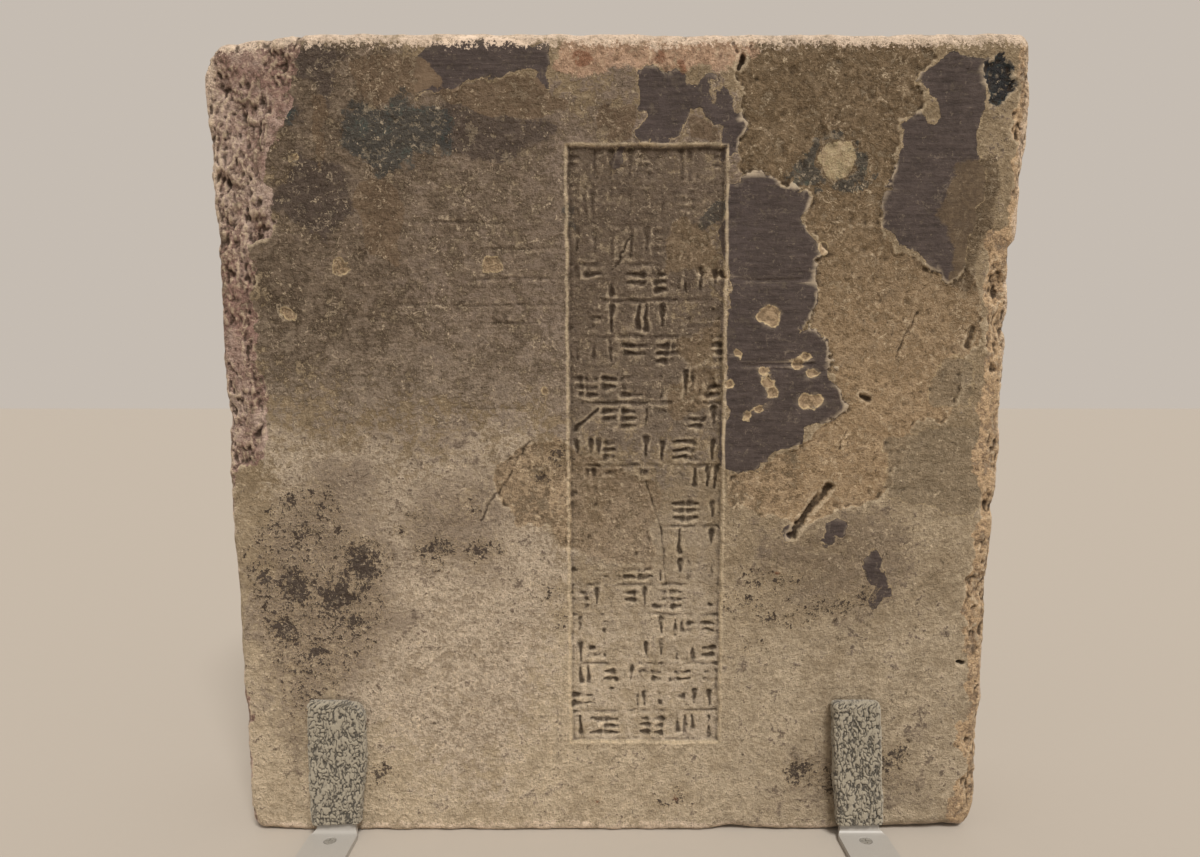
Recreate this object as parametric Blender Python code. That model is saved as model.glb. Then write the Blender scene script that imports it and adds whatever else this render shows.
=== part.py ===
"""Stamped square brick of fired clay, standing upright on two padded strap brackets.

Metres, +Z up, the inscribed face looks towards -Y. The origin is the middle of the
brick's underside, on the surface the brick and both brackets stand on.
"""

import math
import random

import bmesh
import bpy
from mathutils import Vector

# Brick
BRICK_WIDTH = 0.330
BRICK_HEIGHT = 0.334
BRICK_THICKNESS = 0.075
CORNER_RADIUS = {"bottom_left": 0.006, "bottom_right": 0.006, "top_right": 0.005, "top_left": 0.012}
CORNER_STEPS = 4
EDGE_STEP = 0.0085
BACK_WEAR = 0.003
FACE_ROWS = 4
SIDE_ROWS = 3

# What the front arrises have lost: place along the side, width lost on the face, depth lost.
LEFT_WEAR = (
    (0.000, 0.0035, 0.0035),
    (0.161, 0.0030, 0.0030),
    (0.167, 0.0135, 0.0040),
    (0.182, 0.0170, 0.0050),
    (0.206, 0.0145, 0.0045),
    (0.229, 0.0135, 0.0045),
    (0.252, 0.0145, 0.0055),
    (0.256, 0.0210, 0.0070),
    (0.285, 0.0247, 0.0085),
    (0.308, 0.0358, 0.0095),
    (0.334, 0.0450, 0.0100),
)
RIGHT_WEAR = (
    (0.000, 0.0095, 0.0040),
    (0.043, 0.0100, 0.0050),
    (0.078, 0.0095, 0.0040),
    (0.111, 0.0085, 0.0035),
    (0.150, 0.0100, 0.0040),
    (0.174, 0.0115, 0.0050),
    (0.216, 0.0110, 0.0050),
    (0.241, 0.0165, 0.0070),
    (0.252, 0.0120, 0.0060),
    (0.274, 0.0060, 0.0040),
    (0.300, 0.0085, 0.0040),
    (0.315, 0.0070, 0.0040),
    (0.334, 0.0090, 0.0050),
)
TOP_WEAR = (
    (-0.161, 0.0060, 0.0080),
    (-0.120, 0.0040, 0.0050),
    (0.010, 0.0045, 0.0045),
    (0.045, 0.0060, 0.0060),
    (0.060, 0.0040, 0.0045),
    (0.161, 0.0045, 0.0045),
)
BOTTOM_WEAR = (
    (-0.161, 0.0060, 0.0060),
    (-0.142, 0.0030, 0.0030),
    (0.040, 0.0028, 0.0030),
    (0.054, 0.0065, 0.0090),
    (0.076, 0.0035, 0.0040),
    (0.094, 0.0035, 0.0040),
    (0.122, 0.0058, 0.0080),
    (0.140, 0.0072, 0.0100),
    (0.161, 0.0090, 0.0120),
)
WEAR_ROUGHNESS = 0.22
ROUGH_WEAR_WIDTH = 0.006

# What the two upright sides have lost along their outline: height, loss
RIGHT_LEDGE_HEIGHT = 0.2555
LEFT_LOSS = (
    (0.000, 0.0027), (0.050, 0.0027), (0.107, 0.0036), (0.150, 0.0028), (0.200, 0.0028),
    (0.240, 0.0035), (0.256, 0.0026), (0.285, 0.0006), (0.334, 0.0000))
RIGHT_LOSS = (
    (0.000, 0.0030), (0.034, 0.0018), (0.038, 0.0014), (0.042, 0.0030), (0.050, 0.0032),
    (0.060, 0.0020), (0.078, 0.0034), (0.100, 0.0033), (0.150, 0.0030), (0.174, 0.0016),
    (0.190, 0.0027), (0.228, 0.0015), (RIGHT_LEDGE_HEIGHT - 0.002, 0.0034),
    (RIGHT_LEDGE_HEIGHT + 0.001, 0.0011), (0.274, 0.0018), (0.292, 0.0001), (0.318, 0.0007),
    (0.334, 0.0014))
EDGE_WAVE = 0.0003
BACK_SHARE = 0.4

# Stamped panel, its ruled lines and the rows of strokes between them
PANEL_LEFT_TOP = -0.0190
PANEL_LEFT_BOTTOM = -0.0183
PANEL_RIGHT_TOP = 0.0445
PANEL_RIGHT_BOTTOM = 0.0466
PANEL_TOP = 0.2914
PANEL_BOTTOM = 0.0425
PANEL_DEPTH = 0.0012
RULE_HEIGHTS = (
    0.2770, 0.2616, 0.2463, 0.2321, 0.2176, 0.1905, 0.1646, 0.1386, 0.1133, 0.1000, 0.0779, 0.0564)
RULE_WIDTH = 0.0011
RULE_DEPTH = 0.0006
RULE_MARGIN = 0.0009
TALL_ROW = 0.018
COLUMN_EDGES = (0.00, 0.34, 0.66, 1.00)
COLUMN_MARGIN = 0.0012
ROW_MARGIN = 0.0011
BLOCK_GAP = 0.0007
STROKE_SPACING = 0.0031
STROKE_HEAD = 0.0027
STROKE_TAIL = 0.0010
STROKE_DEPTH = 0.0008
STROKE_SEED = 11
# Places in the panel where the strokes have worn away: from x, to x, from z, to z
WORN_PLACES = ((-0.020, 0.026, 0.118, 0.160), (0.026, 0.047, 0.200, 0.240))

# Skin that has come off the face beside the panel, going round its border
BARE_DEPTH = 0.0008
BARE_BORDER = (
    (0.056, 0.318), (0.076, 0.322), (0.100, 0.323), (0.113, 0.317), (0.121, 0.306), (0.112, 0.301),
    (0.114, 0.289), (0.110, 0.275), (0.106, 0.261), (0.119, 0.247), (0.132, 0.240), (0.141, 0.246),
    (0.147, 0.237), (0.149, 0.216), (0.143, 0.202), (0.136, 0.185), (0.122, 0.178), (0.118, 0.160),
    (0.102, 0.148), (0.086, 0.141), (0.071, 0.143), (0.058, 0.151), (0.056, 0.161), (0.070, 0.167),
    (0.078, 0.175), (0.088, 0.184), (0.091, 0.200), (0.087, 0.214), (0.077, 0.220), (0.080, 0.232),
    (0.078, 0.247), (0.085, 0.255), (0.079, 0.261), (0.076, 0.274), (0.062, 0.280), (0.051, 0.282),
    (0.050, 0.296), (0.053, 0.306),
)

# Straw marks: start x, z, end x, z, width, depth
STRAW_MARKS = (
    (0.0755, 0.1350, 0.0912, 0.1555, 0.0030, 0.0026),
    (0.1160, 0.2095, 0.1236, 0.2272, 0.0018, 0.0014),
    (0.1040, 0.1940, 0.1105, 0.1915, 0.0036, 0.0020),
    (0.1500, 0.0788, 0.1520, 0.0788, 0.0024, 0.0030),
    (0.1490, 0.3110, 0.1500, 0.3180, 0.0070, 0.0020),
    (0.0490, 0.3200, 0.0500, 0.3240, 0.0030, 0.0040),
)

# Strap brackets: an upright leg in front of the face and a foot towards the viewer
STRAP_THICKNESS = 0.0025
FOOT_WIDTH = 0.021
FOOT_REACH = 0.040
FOOT_CORNER = 0.004
LEG_WIDTH = 0.017
LEG_TOP = 0.0605
BEND_RADIUS = 0.002
BEND_STEPS = 5
SCREW_REACHES = {"rear": 0.0110, "front": 0.0252}
BRACKETS = {
    "left": {"x": -0.1228, "leg_shift": 0.0006, "lean": 0.0025, "swell": 0.0042},
    "right": {"x": 0.1095, "leg_shift": -0.0006, "lean": -0.0042, "swell": 0.0004},
}

# Felt sleeves over the legs
SLEEVE_WALL = 0.0016
SLEEVE_BOTTOM = 0.0065
SLEEVE_CROWN = 0.0022
SLEEVE_ROUND = 0.0018
SLEEVE_ROWS = 7

# Countersunk screws
SCREW_HEAD = 0.0050
SCREW_HEAD_HEIGHT = 0.0014
SCREW_SHANK = 0.0028
SLOT_WIDTH = 0.0008
SLOT_LENGTH = 0.0030
SLOT_DEPTH = 0.0006
ROUND_STEPS = 16

CLEARANCE = 0.0003

FRONT = -BRICK_THICKNESS / 2
BACK = BRICK_THICKNESS / 2
LEG_MIDDLE = FRONT - 2 * CLEARANCE - SLEEVE_WALL - STRAP_THICKNESS / 2


def along(table, place):
    """Read a table of places and losses, straight lines between its rows."""
    if place <= table[0][0]:
        return table[0][1:]
    for low, high in zip(table, table[1:]):
        if place <= high[0]:
            share = (place - low[0]) / (high[0] - low[0])
            return tuple(a + share * (b - a) for a, b in zip(low[1:], high[1:]))
    return table[-1][1:]


def step(value, low, high):
    """Rise smoothly from 0 at low to 1 at high."""
    share = min(1.0, max(0.0, (value - low) / (high - low)))
    return share * share * (3.0 - 2.0 * share)


def wave(place, phase):
    """A small uneven waver along an edge, between -1 and 1."""
    return (math.sin(place * 173.0 + phase) + math.sin(place * 411.0 + 2.3 * phase)) / 2.0


def left_edge(height, amount):
    """Distance of the left side from the middle, with its loss scaled by amount."""
    loss = along(LEFT_LOSS, height)[0] + EDGE_WAVE * (1.0 + wave(height, 0.4))
    return -BRICK_WIDTH / 2 + amount * loss


def right_edge(height, amount):
    """Distance of the right side from the middle, with its ledge and chips."""
    loss = along(RIGHT_LOSS, height)[0] + EDGE_WAVE * (1.0 + wave(height, 1.9))
    return BRICK_WIDTH / 2 - amount * loss


def top_edge(across, amount):
    """Height of the top side."""
    return BRICK_HEIGHT - amount * EDGE_WAVE * (1.0 + wave(across, 3.1))


def side_row(start, end):
    """Evenly spaced points from start up to, but not with, end."""
    length = (end - start).length
    count = max(1, round(length / EDGE_STEP))
    return [start.lerp(end, index / count) for index in range(count)]


def corner_row(centre, radius, start_angle):
    """Points on a quarter circle, from start_angle anticlockwise, without the last."""
    return [
        centre + radius * Vector((math.cos(angle), math.sin(angle)))
        for angle in (start_angle + math.pi / 2 * index / CORNER_STEPS for index in range(CORNER_STEPS))
    ]


def outline_shares():
    """Points round a rounded rectangle as shares (0 to 1) of its width and height."""
    half = BRICK_WIDTH / 2
    corners = (
        ("bottom_left", Vector((-half, 0.0)), Vector((1, 1)), math.pi),
        ("bottom_right", Vector((half, 0.0)), Vector((-1, 1)), -math.pi / 2),
        ("top_right", Vector((half, BRICK_HEIGHT)), Vector((-1, -1)), 0.0),
        ("top_left", Vector((-half, BRICK_HEIGHT)), Vector((1, -1)), math.pi / 2),
    )
    arcs = [
        corner_row(place + CORNER_RADIUS[name] * inward, CORNER_RADIUS[name], angle)
        + [place + CORNER_RADIUS[name] * (inward + Vector((math.cos(angle + math.pi / 2),
                                                           math.sin(angle + math.pi / 2))))]
        for name, place, inward, angle in corners
    ]
    points = []
    for arc, following in zip(arcs, arcs[1:] + arcs[:1]):
        points += arc[:-1] + side_row(arc[-1], following[0])
    return [((p.x + half) / BRICK_WIDTH, p.y / BRICK_HEIGHT) for p in points]


def wear_at(share_x, share_z):
    """Depth lost at a point of the outline, mixed from the sides it is near."""
    across = (share_x - 0.5) * BRICK_WIDTH
    height = share_z * BRICK_HEIGHT
    sides = (
        (along(LEFT_WEAR, height)[1], across + BRICK_WIDTH / 2),
        (along(RIGHT_WEAR, height)[1], BRICK_WIDTH / 2 - across),
        (along(BOTTOM_WEAR, across)[1], height),
        (along(TOP_WEAR, across)[1], BRICK_HEIGHT - height),
    )
    pulls = [(depth, max(0.0, 1.0 - gap / 0.012)) for depth, gap in sides]
    return sum(depth * pull for depth, pull in pulls) / sum(pull for _, pull in pulls)


def spalled(share_x, share_z):
    """1 where the arris is a rough broken slope, 0 where it is only rounded."""
    height = share_z * BRICK_HEIGHT
    width = along(LEFT_WEAR, height)[0] if share_x < 0.5 else along(RIGHT_WEAR, height)[0]
    side_gap = min(share_x, 1.0 - share_x) * BRICK_WIDTH
    return step(width, ROUGH_WEAR_WIDTH, 2 * ROUGH_WEAR_WIDTH) * (1.0 - step(side_gap, 0.004, 0.02))


def outline_point(share_x, share_z, inset, amount):
    """Place on the outline, moved inwards over a share (inset) of the arris wear."""
    across = (share_x - 0.5) * BRICK_WIDTH
    height = share_z * BRICK_HEIGHT
    left = left_edge(height, amount) + inset * along(LEFT_WEAR, height)[0]
    right = right_edge(height, amount) - inset * along(RIGHT_WEAR, height)[0]
    low = inset * along(BOTTOM_WEAR, across)[0]
    high = top_edge(across, amount) - inset * along(TOP_WEAR, across)[0]
    return left + share_x * (right - left), low + share_z * (high - low)


def face_ring(shares, row):
    """One ring of the front arris: row 0 bounds the flat face, the last one the side."""
    turn = row / FACE_ROWS
    ring = []
    for index, (share_x, share_z) in enumerate(shares):
        rough = spalled(share_x, share_z)
        jitter = WEAR_ROUGHNESS * rough * wave(index * 0.037, 1.3 + 2.1 * row) * math.sin(math.pi * turn)
        inset = (1 - rough) * (1 - math.sin(turn * math.pi / 2)) + rough * (1 - turn)
        drop = (1 - rough) * (1 - math.cos(turn * math.pi / 2)) + rough * (turn + jitter)
        x, z = outline_point(share_x, share_z, inset, 1.0)
        ring.append((x, FRONT + drop * wear_at(share_x, share_z), z))
    return ring


def side_ring(shares, row):
    """One ring across the sides, towards the plain back arris."""
    share = row / SIDE_ROWS
    amount = 1.0 + share * (BACK_SHARE - 1.0)
    ring = []
    for share_x, share_z in shares:
        start = FRONT + wear_at(share_x, share_z)
        x, z = outline_point(share_x, share_z, 0.0, amount)
        ring.append((x, start + share * (BACK - BACK_WEAR - start), z))
    return ring


def back_ring(shares, turn):
    """A ring of the rounded back arris, turned by a share of a quarter circle."""
    inset = BACK_WEAR * (1 - math.cos(turn * math.pi / 2))
    ring = []
    for share_x, share_z in shares:
        x, z = outline_point(share_x, share_z, 0.0, BACK_SHARE)
        x += inset * (1.0 - 2.0 * share_x)
        z += inset * (1.0 - 2.0 * share_z)
        ring.append((x, BACK - BACK_WEAR * (1 - math.sin(turn * math.pi / 2)), z))
    return ring


def lofted(name, rings):
    """Closed solid from rings of equal length, first and last ring capped flat."""
    count = len(rings[0])
    faces = [tuple(range(count))]
    for row in range(len(rings) - 1):
        for index in range(count):
            following = (index + 1) % count
            faces.append((row * count + index, (row + 1) * count + index,
                          (row + 1) * count + following, row * count + following))
    faces.append(tuple(reversed(range((len(rings) - 1) * count, len(rings) * count))))
    return solid(name, [point for ring in rings for point in ring], faces)


def solid(name, points, faces):
    """Object from points and faces, with every face turned outwards."""
    mesh = bpy.data.meshes.new(name)
    mesh.from_pydata([tuple(point) for point in points], [], faces)
    shape = bmesh.new()
    shape.from_mesh(mesh)
    bmesh.ops.recalc_face_normals(shape, faces=shape.faces)
    shape.to_mesh(mesh)
    shape.free()
    made = bpy.data.objects.new(name, mesh)
    bpy.context.scene.collection.objects.link(made)
    return made


def prism(outline, near, far):
    """Points and faces of a prism over an outline of (x, z), between two depths."""
    count = len(outline)
    points = [(x, near, z) for x, z in outline] + [(x, far, z) for x, z in outline]
    faces = [tuple(range(count)), tuple(reversed(range(count, 2 * count)))]
    faces += [(i, (i + 1) % count, count + (i + 1) % count, count + i) for i in range(count)]
    return points, faces


def joined(name, parts):
    """One object from several separate closed shapes."""
    points, faces = [], []
    for part_points, part_faces in parts:
        faces += [tuple(len(points) + index for index in face) for face in part_faces]
        points += part_points
    return solid(name, points, faces)


def cut(target, tool):
    """Take the tool's volume out of the target and remove the tool."""
    modifier = target.modifiers.new("cut", "BOOLEAN")
    modifier.operation = "DIFFERENCE"
    modifier.solver = "EXACT"
    modifier.object = tool
    bpy.context.view_layer.update()
    result = bpy.data.meshes.new_from_object(target.evaluated_get(bpy.context.evaluated_depsgraph_get()))
    target.modifiers.clear()
    target.data = result
    bpy.data.objects.remove(tool)


def panel_sides(height):
    """Left and right border of the panel at a height."""
    share = (height - PANEL_BOTTOM) / (PANEL_TOP - PANEL_BOTTOM)
    left = PANEL_LEFT_BOTTOM + share * (PANEL_LEFT_TOP - PANEL_LEFT_BOTTOM)
    right = PANEL_RIGHT_BOTTOM + share * (PANEL_RIGHT_TOP - PANEL_RIGHT_BOTTOM)
    return left, right


def panel_rows():
    """Bottom and top of each row of strokes; tall rows are shared by two."""
    lines = sorted((PANEL_TOP, PANEL_BOTTOM) + RULE_HEIGHTS)
    rows = []
    for low, high in zip(lines, lines[1:]):
        middle = (low + high) / 2
        rows += [(low, middle), (middle, high)] if high - low > TALL_ROW else [(low, high)]
    return rows


def worn_away(x, z):
    """True where no stroke is left."""
    return any(left < x < right and low < z < high for left, right, low, high in WORN_PLACES)


def block_strokes(left, right, low, high, chance):
    """Strokes of one block: side by side and upright, level and stacked, or one slanted."""
    kind = chance.random()
    side = STROKE_HEAD / 2
    if kind < 0.16 and right - left > 2.4 * STROKE_HEAD:
        ends = [((left + side, high - side), (right - side, low + side))]
        return ends if chance.random() < 0.5 else [((left + side, low + side), (right - side, high - side))]
    upright = kind < 0.60
    span = (right - left) if upright else (high - low)
    count = max(1, int(span / STROKE_SPACING))
    start = span / 2 - (count - 1) * STROKE_SPACING / 2
    low_cut, high_cut = chance.uniform(0.0, 0.3), chance.uniform(0.0, 0.2)
    flip = chance.random() < 0.25
    strokes = []
    for index in range(count):
        cross = start + index * STROKE_SPACING
        cut_back = low_cut + chance.uniform(0.0, 0.15)
        if upright:
            tall = high - low
            tail, head = (left + cross, low + cut_back * tall), (left + cross, high - high_cut * tall)
        else:
            tail, head = (right - cut_back * (right - left), low + cross), (left, low + cross)
        if chance.random() < 0.9:
            strokes.append((tail, head) if flip else (head, tail))
    return strokes


def cell_strokes(left, right, low, high, chance):
    """Strokes of one cell, which is shared by two or three blocks of unlike width."""
    shares = [0.0, chance.uniform(0.30, 0.37), chance.uniform(0.64, 0.72), 1.0]
    if chance.random() < 0.45:
        del shares[1]
    strokes = []
    for begin, end in zip(shares, shares[1:]):
        block_left = left + begin * (right - left) + (BLOCK_GAP if begin else 0.0)
        block_right = left + end * (right - left) - (BLOCK_GAP if end < 1.0 else 0.0)
        strokes += block_strokes(block_left, block_right, low, high, chance)
    return strokes


def stroke_plan():
    """Head and tail of every stroke in the panel, as (x, z) pairs."""
    chance = random.Random(STROKE_SEED)
    strokes = []
    for low, high in panel_rows():
        left, right = panel_sides((low + high) / 2)
        for begin, end in zip(COLUMN_EDGES, COLUMN_EDGES[1:]):
            cell_left = left + begin * (right - left) + COLUMN_MARGIN
            cell_right = left + end * (right - left) - COLUMN_MARGIN
            cell = cell_strokes(cell_left, cell_right, low + ROW_MARGIN, high - ROW_MARGIN, chance)
            strokes += [s for s in cell if not worn_away((s[0][0] + s[1][0]) / 2, (s[0][1] + s[1][1]) / 2)]
    return strokes


def wedge(head, tail):
    """Cutter for one stroke: a wide deep head running out to a narrow tail."""
    start, end = Vector(head), Vector(tail)
    run = (end - start).normalized()
    side = Vector((-run.y, run.x))
    top = FRONT + PANEL_DEPTH - CLEARANCE
    floor = FRONT + PANEL_DEPTH + STROKE_DEPTH
    rim = [start + side * STROKE_HEAD / 2, start - side * STROKE_HEAD / 2,
           end - side * STROKE_TAIL / 2, end + side * STROKE_TAIL / 2]
    points = [(p.x, top, p.y) for p in rim]
    points.append(tuple(start.lerp(end, 0.2).to_3d().xzy + Vector((0, floor, 0))))
    points.append(tuple(start.lerp(end, 0.8).to_3d().xzy + Vector((0, floor - 0.0003, 0))))
    faces = [(0, 1, 2, 3), (0, 1, 4), (1, 2, 5, 4), (2, 3, 5), (3, 0, 4, 5)]
    return points, faces


def rule_bar(height):
    """Cutter for one ruled line across the panel."""
    left, right = panel_sides(height)
    low, high = height - RULE_WIDTH / 2, height + RULE_WIDTH / 2
    left, right = left + RULE_MARGIN, right - RULE_MARGIN
    if worn_away(0.0, height):
        left = 0.027
    return prism([(left, low), (right, low), (right, high), (left, high)],
                 FRONT + PANEL_DEPTH - CLEARANCE, FRONT + PANEL_DEPTH + RULE_DEPTH)


def straw_cut(start_x, start_z, end_x, end_z, width, depth):
    """Cutter for a straw mark: a long six-sided point going into the face."""
    start, end = Vector((start_x, start_z)), Vector((end_x, end_z))
    run = (end - start).normalized()
    side = Vector((-run.y, run.x)) * width / 2
    rim = [start - run * width / 2, start + side * 0.8, end + side, end + run * width / 2,
           end - side, start - side * 0.8]
    points = [(p.x, FRONT - depth * 0.5, p.y) for p in rim]
    points += [(start.x, FRONT + depth, start.y), (end.x, FRONT + depth * 0.8, end.y)]
    faces = [(0, 1, 2, 3, 4, 5), (0, 1, 6), (1, 2, 7, 6), (2, 3, 7), (3, 4, 7), (4, 5, 6, 7), (5, 0, 6)]
    return points, faces


def make_brick():
    """The brick: worn slab, stamped panel, bare place and straw marks."""
    shares = outline_shares()
    rings = [face_ring(shares, row) for row in range(FACE_ROWS + 1)]
    rings += [side_ring(shares, row) for row in range(1, SIDE_ROWS + 1)]
    rings += [back_ring(shares, 0.5), back_ring(shares, 1.0)]
    brick = lofted("brick", rings)
    corners = [(PANEL_LEFT_BOTTOM, PANEL_BOTTOM), (PANEL_RIGHT_BOTTOM, PANEL_BOTTOM),
               (PANEL_RIGHT_TOP, PANEL_TOP), (PANEL_LEFT_TOP, PANEL_TOP)]
    open_front = FRONT - 0.002
    cut(brick, joined("panel", [prism(corners, open_front, FRONT + PANEL_DEPTH),
                                prism(BARE_BORDER, open_front, FRONT + BARE_DEPTH)]))
    cut(brick, joined("rules", [rule_bar(height) for height in RULE_HEIGHTS]))
    cut(brick, joined("strokes", [wedge(head, tail) for head, tail in stroke_plan()]))
    cut(brick, joined("straw", [straw_cut(*row) for row in STRAW_MARKS]))
    return brick


def strap_stations(place):
    """Stations along the strap: middle point, half width, and the side the viewer sees."""
    middle = STRAP_THICKNESS / 2
    bend = BEND_RADIUS + middle
    toe = FRONT - FOOT_REACH
    heel = LEG_MIDDLE - bend
    stations = []
    for turn in (0.0, 0.33, 0.67, 1.0):
        angle = turn * math.pi / 2
        half = FOOT_WIDTH / 2 - FOOT_CORNER * (1 - math.sin(angle))
        stations.append((place["x"], toe + FOOT_CORNER * (1 - math.cos(angle)), middle, half, (0, 1)))
    stations.append((place["x"], heel, middle, FOOT_WIDTH / 2, (0, 1)))
    for index in range(1, BEND_STEPS + 1):
        share = index / BEND_STEPS
        angle = share * math.pi / 2
        half = FOOT_WIDTH / 2 + share * (LEG_WIDTH - FOOT_WIDTH) / 2
        stations.append((place["x"] + share * place["leg_shift"], heel + bend * math.sin(angle),
                         middle + bend * (1 - math.cos(angle)), half, (-math.sin(angle), math.cos(angle))))
    stations.append((leg_centre(place, LEG_TOP), LEG_MIDDLE, LEG_TOP, LEG_WIDTH / 2, (-1, 0)))
    return stations


def leg_centre(place, height):
    """Middle of a leg at a height: the legs lean a little to one side."""
    foot_top = STRAP_THICKNESS + BEND_RADIUS
    share = (height - foot_top) / (LEG_TOP - foot_top)
    return place["x"] + place["leg_shift"] + share * place["lean"]


def strap_ring(station):
    """Four corners of the strap at a station."""
    x, y, z, half, (out_y, out_z) = station
    middle = STRAP_THICKNESS / 2
    inner = (y + middle * out_y, z + middle * out_z)
    outer = (y - middle * out_y, z - middle * out_z)
    return [(x - half, *outer), (x + half, *outer), (x + half, *inner), (x - half, *inner)]


def turned(name, x, y, profile):
    """Round solid about an upright axis from (radius, height) pairs, lowest first."""
    rings = [
        [(x + radius * math.cos(math.tau * index / ROUND_STEPS),
          y + radius * math.sin(math.tau * index / ROUND_STEPS), height) for index in range(ROUND_STEPS)]
        for radius, height in profile
    ]
    return lofted(name, rings)


def make_bracket(side):
    """Bent strap with two countersunk holes in its foot."""
    place = BRACKETS[side]
    bracket = lofted("bracket_" + side, [strap_ring(station) for station in strap_stations(place)])
    wide = SCREW_HEAD / 2 + CLEARANCE
    narrow = SCREW_SHANK / 2 + CLEARANCE
    for reach in SCREW_REACHES.values():
        hole = turned("hole", place["x"], FRONT - reach, [
            (narrow, -0.001), (narrow, STRAP_THICKNESS - SCREW_HEAD_HEIGHT - CLEARANCE),
            (wide, STRAP_THICKNESS), (wide, STRAP_THICKNESS + 0.001)])
        cut(bracket, hole)
    return bracket


def make_screw(side, seat):
    """Countersunk screw with a cross slot, flush in the foot."""
    x, y = BRACKETS[side]["x"], FRONT - SCREW_REACHES[seat]
    top = STRAP_THICKNESS - CLEARANCE / 3
    screw = turned("screw_" + side + "_" + seat, x, y, [
        (SCREW_SHANK / 2, CLEARANCE), (SCREW_SHANK / 2, top - SCREW_HEAD_HEIGHT),
        (SCREW_HEAD / 2, top)])
    arm, half = SLOT_LENGTH / 2, SLOT_WIDTH / 2
    cross = [(half, arm), (-half, arm), (-half, half), (-arm, half), (-arm, -half), (-half, -half),
             (-half, -arm), (half, -arm), (half, -half), (arm, -half), (arm, half), (half, half)]
    points = [(x + px, y + py, top - SLOT_DEPTH) for px, py in cross]
    points += [(x + px, y + py, top + SLOT_DEPTH) for px, py in cross]
    _, faces = prism(cross, 0.0, 1.0)
    cut(screw, solid("slot", points, faces))
    return screw


def sleeve_half_width(place, share):
    """Half width of a sleeve: snug at the bottom, slack near the top."""
    slack = place["swell"] / 2 * math.sin(math.pi * min(1.0, 0.15 + share) * 0.62)
    return LEG_WIDTH / 2 + CLEARANCE + SLEEVE_WALL - 0.0003 + slack


def sleeve_ring(place, height, half, shrink):
    """Rounded rectangle round the leg, drawn in by shrink on all sides."""
    x = leg_centre(place, height)
    depth = STRAP_THICKNESS / 2 + CLEARANCE + SLEEVE_WALL - shrink
    half -= shrink
    corner = max(0.0004, SLEEVE_ROUND - shrink)
    ring = []
    for sign_x, sign_y, start in ((1, 1, 0), (-1, 1, 1), (-1, -1, 2), (1, -1, 3)):
        for index in range(4):
            angle = (start + index / 3) * math.pi / 2
            ring.append((x + sign_x * (half - corner) + corner * math.cos(angle),
                         LEG_MIDDLE + sign_y * (depth - corner) + corner * math.sin(angle), height))
    return ring


def make_sleeve(side):
    """Felt sleeve: soft rounded outside, closed top and a pocket for the leg."""
    place = BRACKETS[side]
    top = LEG_TOP + CLEARANCE + SLEEVE_CROWN
    shoulder = top - SLEEVE_ROUND
    rings = []
    for row in range(SLEEVE_ROWS + 1):
        share = row / SLEEVE_ROWS
        height = SLEEVE_BOTTOM + share * (shoulder - SLEEVE_BOTTOM)
        rings.append(sleeve_ring(place, height, sleeve_half_width(place, share), 0.0))
    for turn in (0.4, 0.75, 1.0):
        angle = turn * math.pi / 2
        rings.append(sleeve_ring(place, shoulder + SLEEVE_ROUND * math.sin(angle),
                                 sleeve_half_width(place, 1.0), SLEEVE_ROUND * 0.8 * (1 - math.cos(angle))))
    sleeve = lofted("sleeve_" + side, rings)
    half = LEG_WIDTH / 2 + CLEARANCE
    depth = STRAP_THICKNESS / 2 + CLEARANCE
    pocket = []
    for height in (SLEEVE_BOTTOM - 0.001, LEG_TOP + CLEARANCE):
        x = leg_centre(place, height)
        pocket.append([(x - half, LEG_MIDDLE - depth, height), (x + half, LEG_MIDDLE - depth, height),
                       (x + half, LEG_MIDDLE + depth, height), (x - half, LEG_MIDDLE + depth, height)])
    cut(sleeve, lofted("pocket", pocket))
    return sleeve


def finish(target, label, colour, roughness, metallic, smooth):
    """Give the object its own material and its shading."""
    material = bpy.data.materials.new(label)
    material.use_nodes = True
    shader = material.node_tree.nodes["Principled BSDF"]
    shader.inputs["Base Color"].default_value = (*colour, 1.0)
    shader.inputs["Roughness"].default_value = roughness
    shader.inputs["Metallic"].default_value = metallic
    target.data.materials.clear()
    target.data.materials.append(material)
    if smooth:
        target.data.shade_smooth()
        target.data.set_sharp_from_angle(angle=math.radians(35))


def main():
    """Clear the file and build every piece."""
    for old in list(bpy.data.objects):
        bpy.data.objects.remove(old)
    finish(make_brick(), "fired_clay", (0.36, 0.27, 0.18), 0.9, 0.0, False)
    for side in BRACKETS:
        finish(make_bracket(side), "strap_paint_" + side, (0.52, 0.49, 0.43), 0.45, 0.0, True)
        finish(make_sleeve(side), "felt_" + side, (0.42, 0.40, 0.34), 0.95, 0.0, True)
        for seat in SCREW_REACHES:
            screw = make_screw(side, seat)
            finish(screw, "screw_steel_" + side + "_" + seat, (0.45, 0.44, 0.42), 0.35, 1.0, True)


main()
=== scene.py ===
"""Stamped brick of fired clay standing upright on two padded strap brackets.

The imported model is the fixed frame. The brick and the two felt sleeves are worked out
here as dense surfaces; the straps and screws keep their solids and get their finishes.
Sizes are in millimetres until a mesh is made, with +Z up and the stamped face towards -Y.
"""

import enum
import itertools
import logging
import math
import random
from dataclasses import dataclass, field
from typing import Any, Sequence

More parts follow.
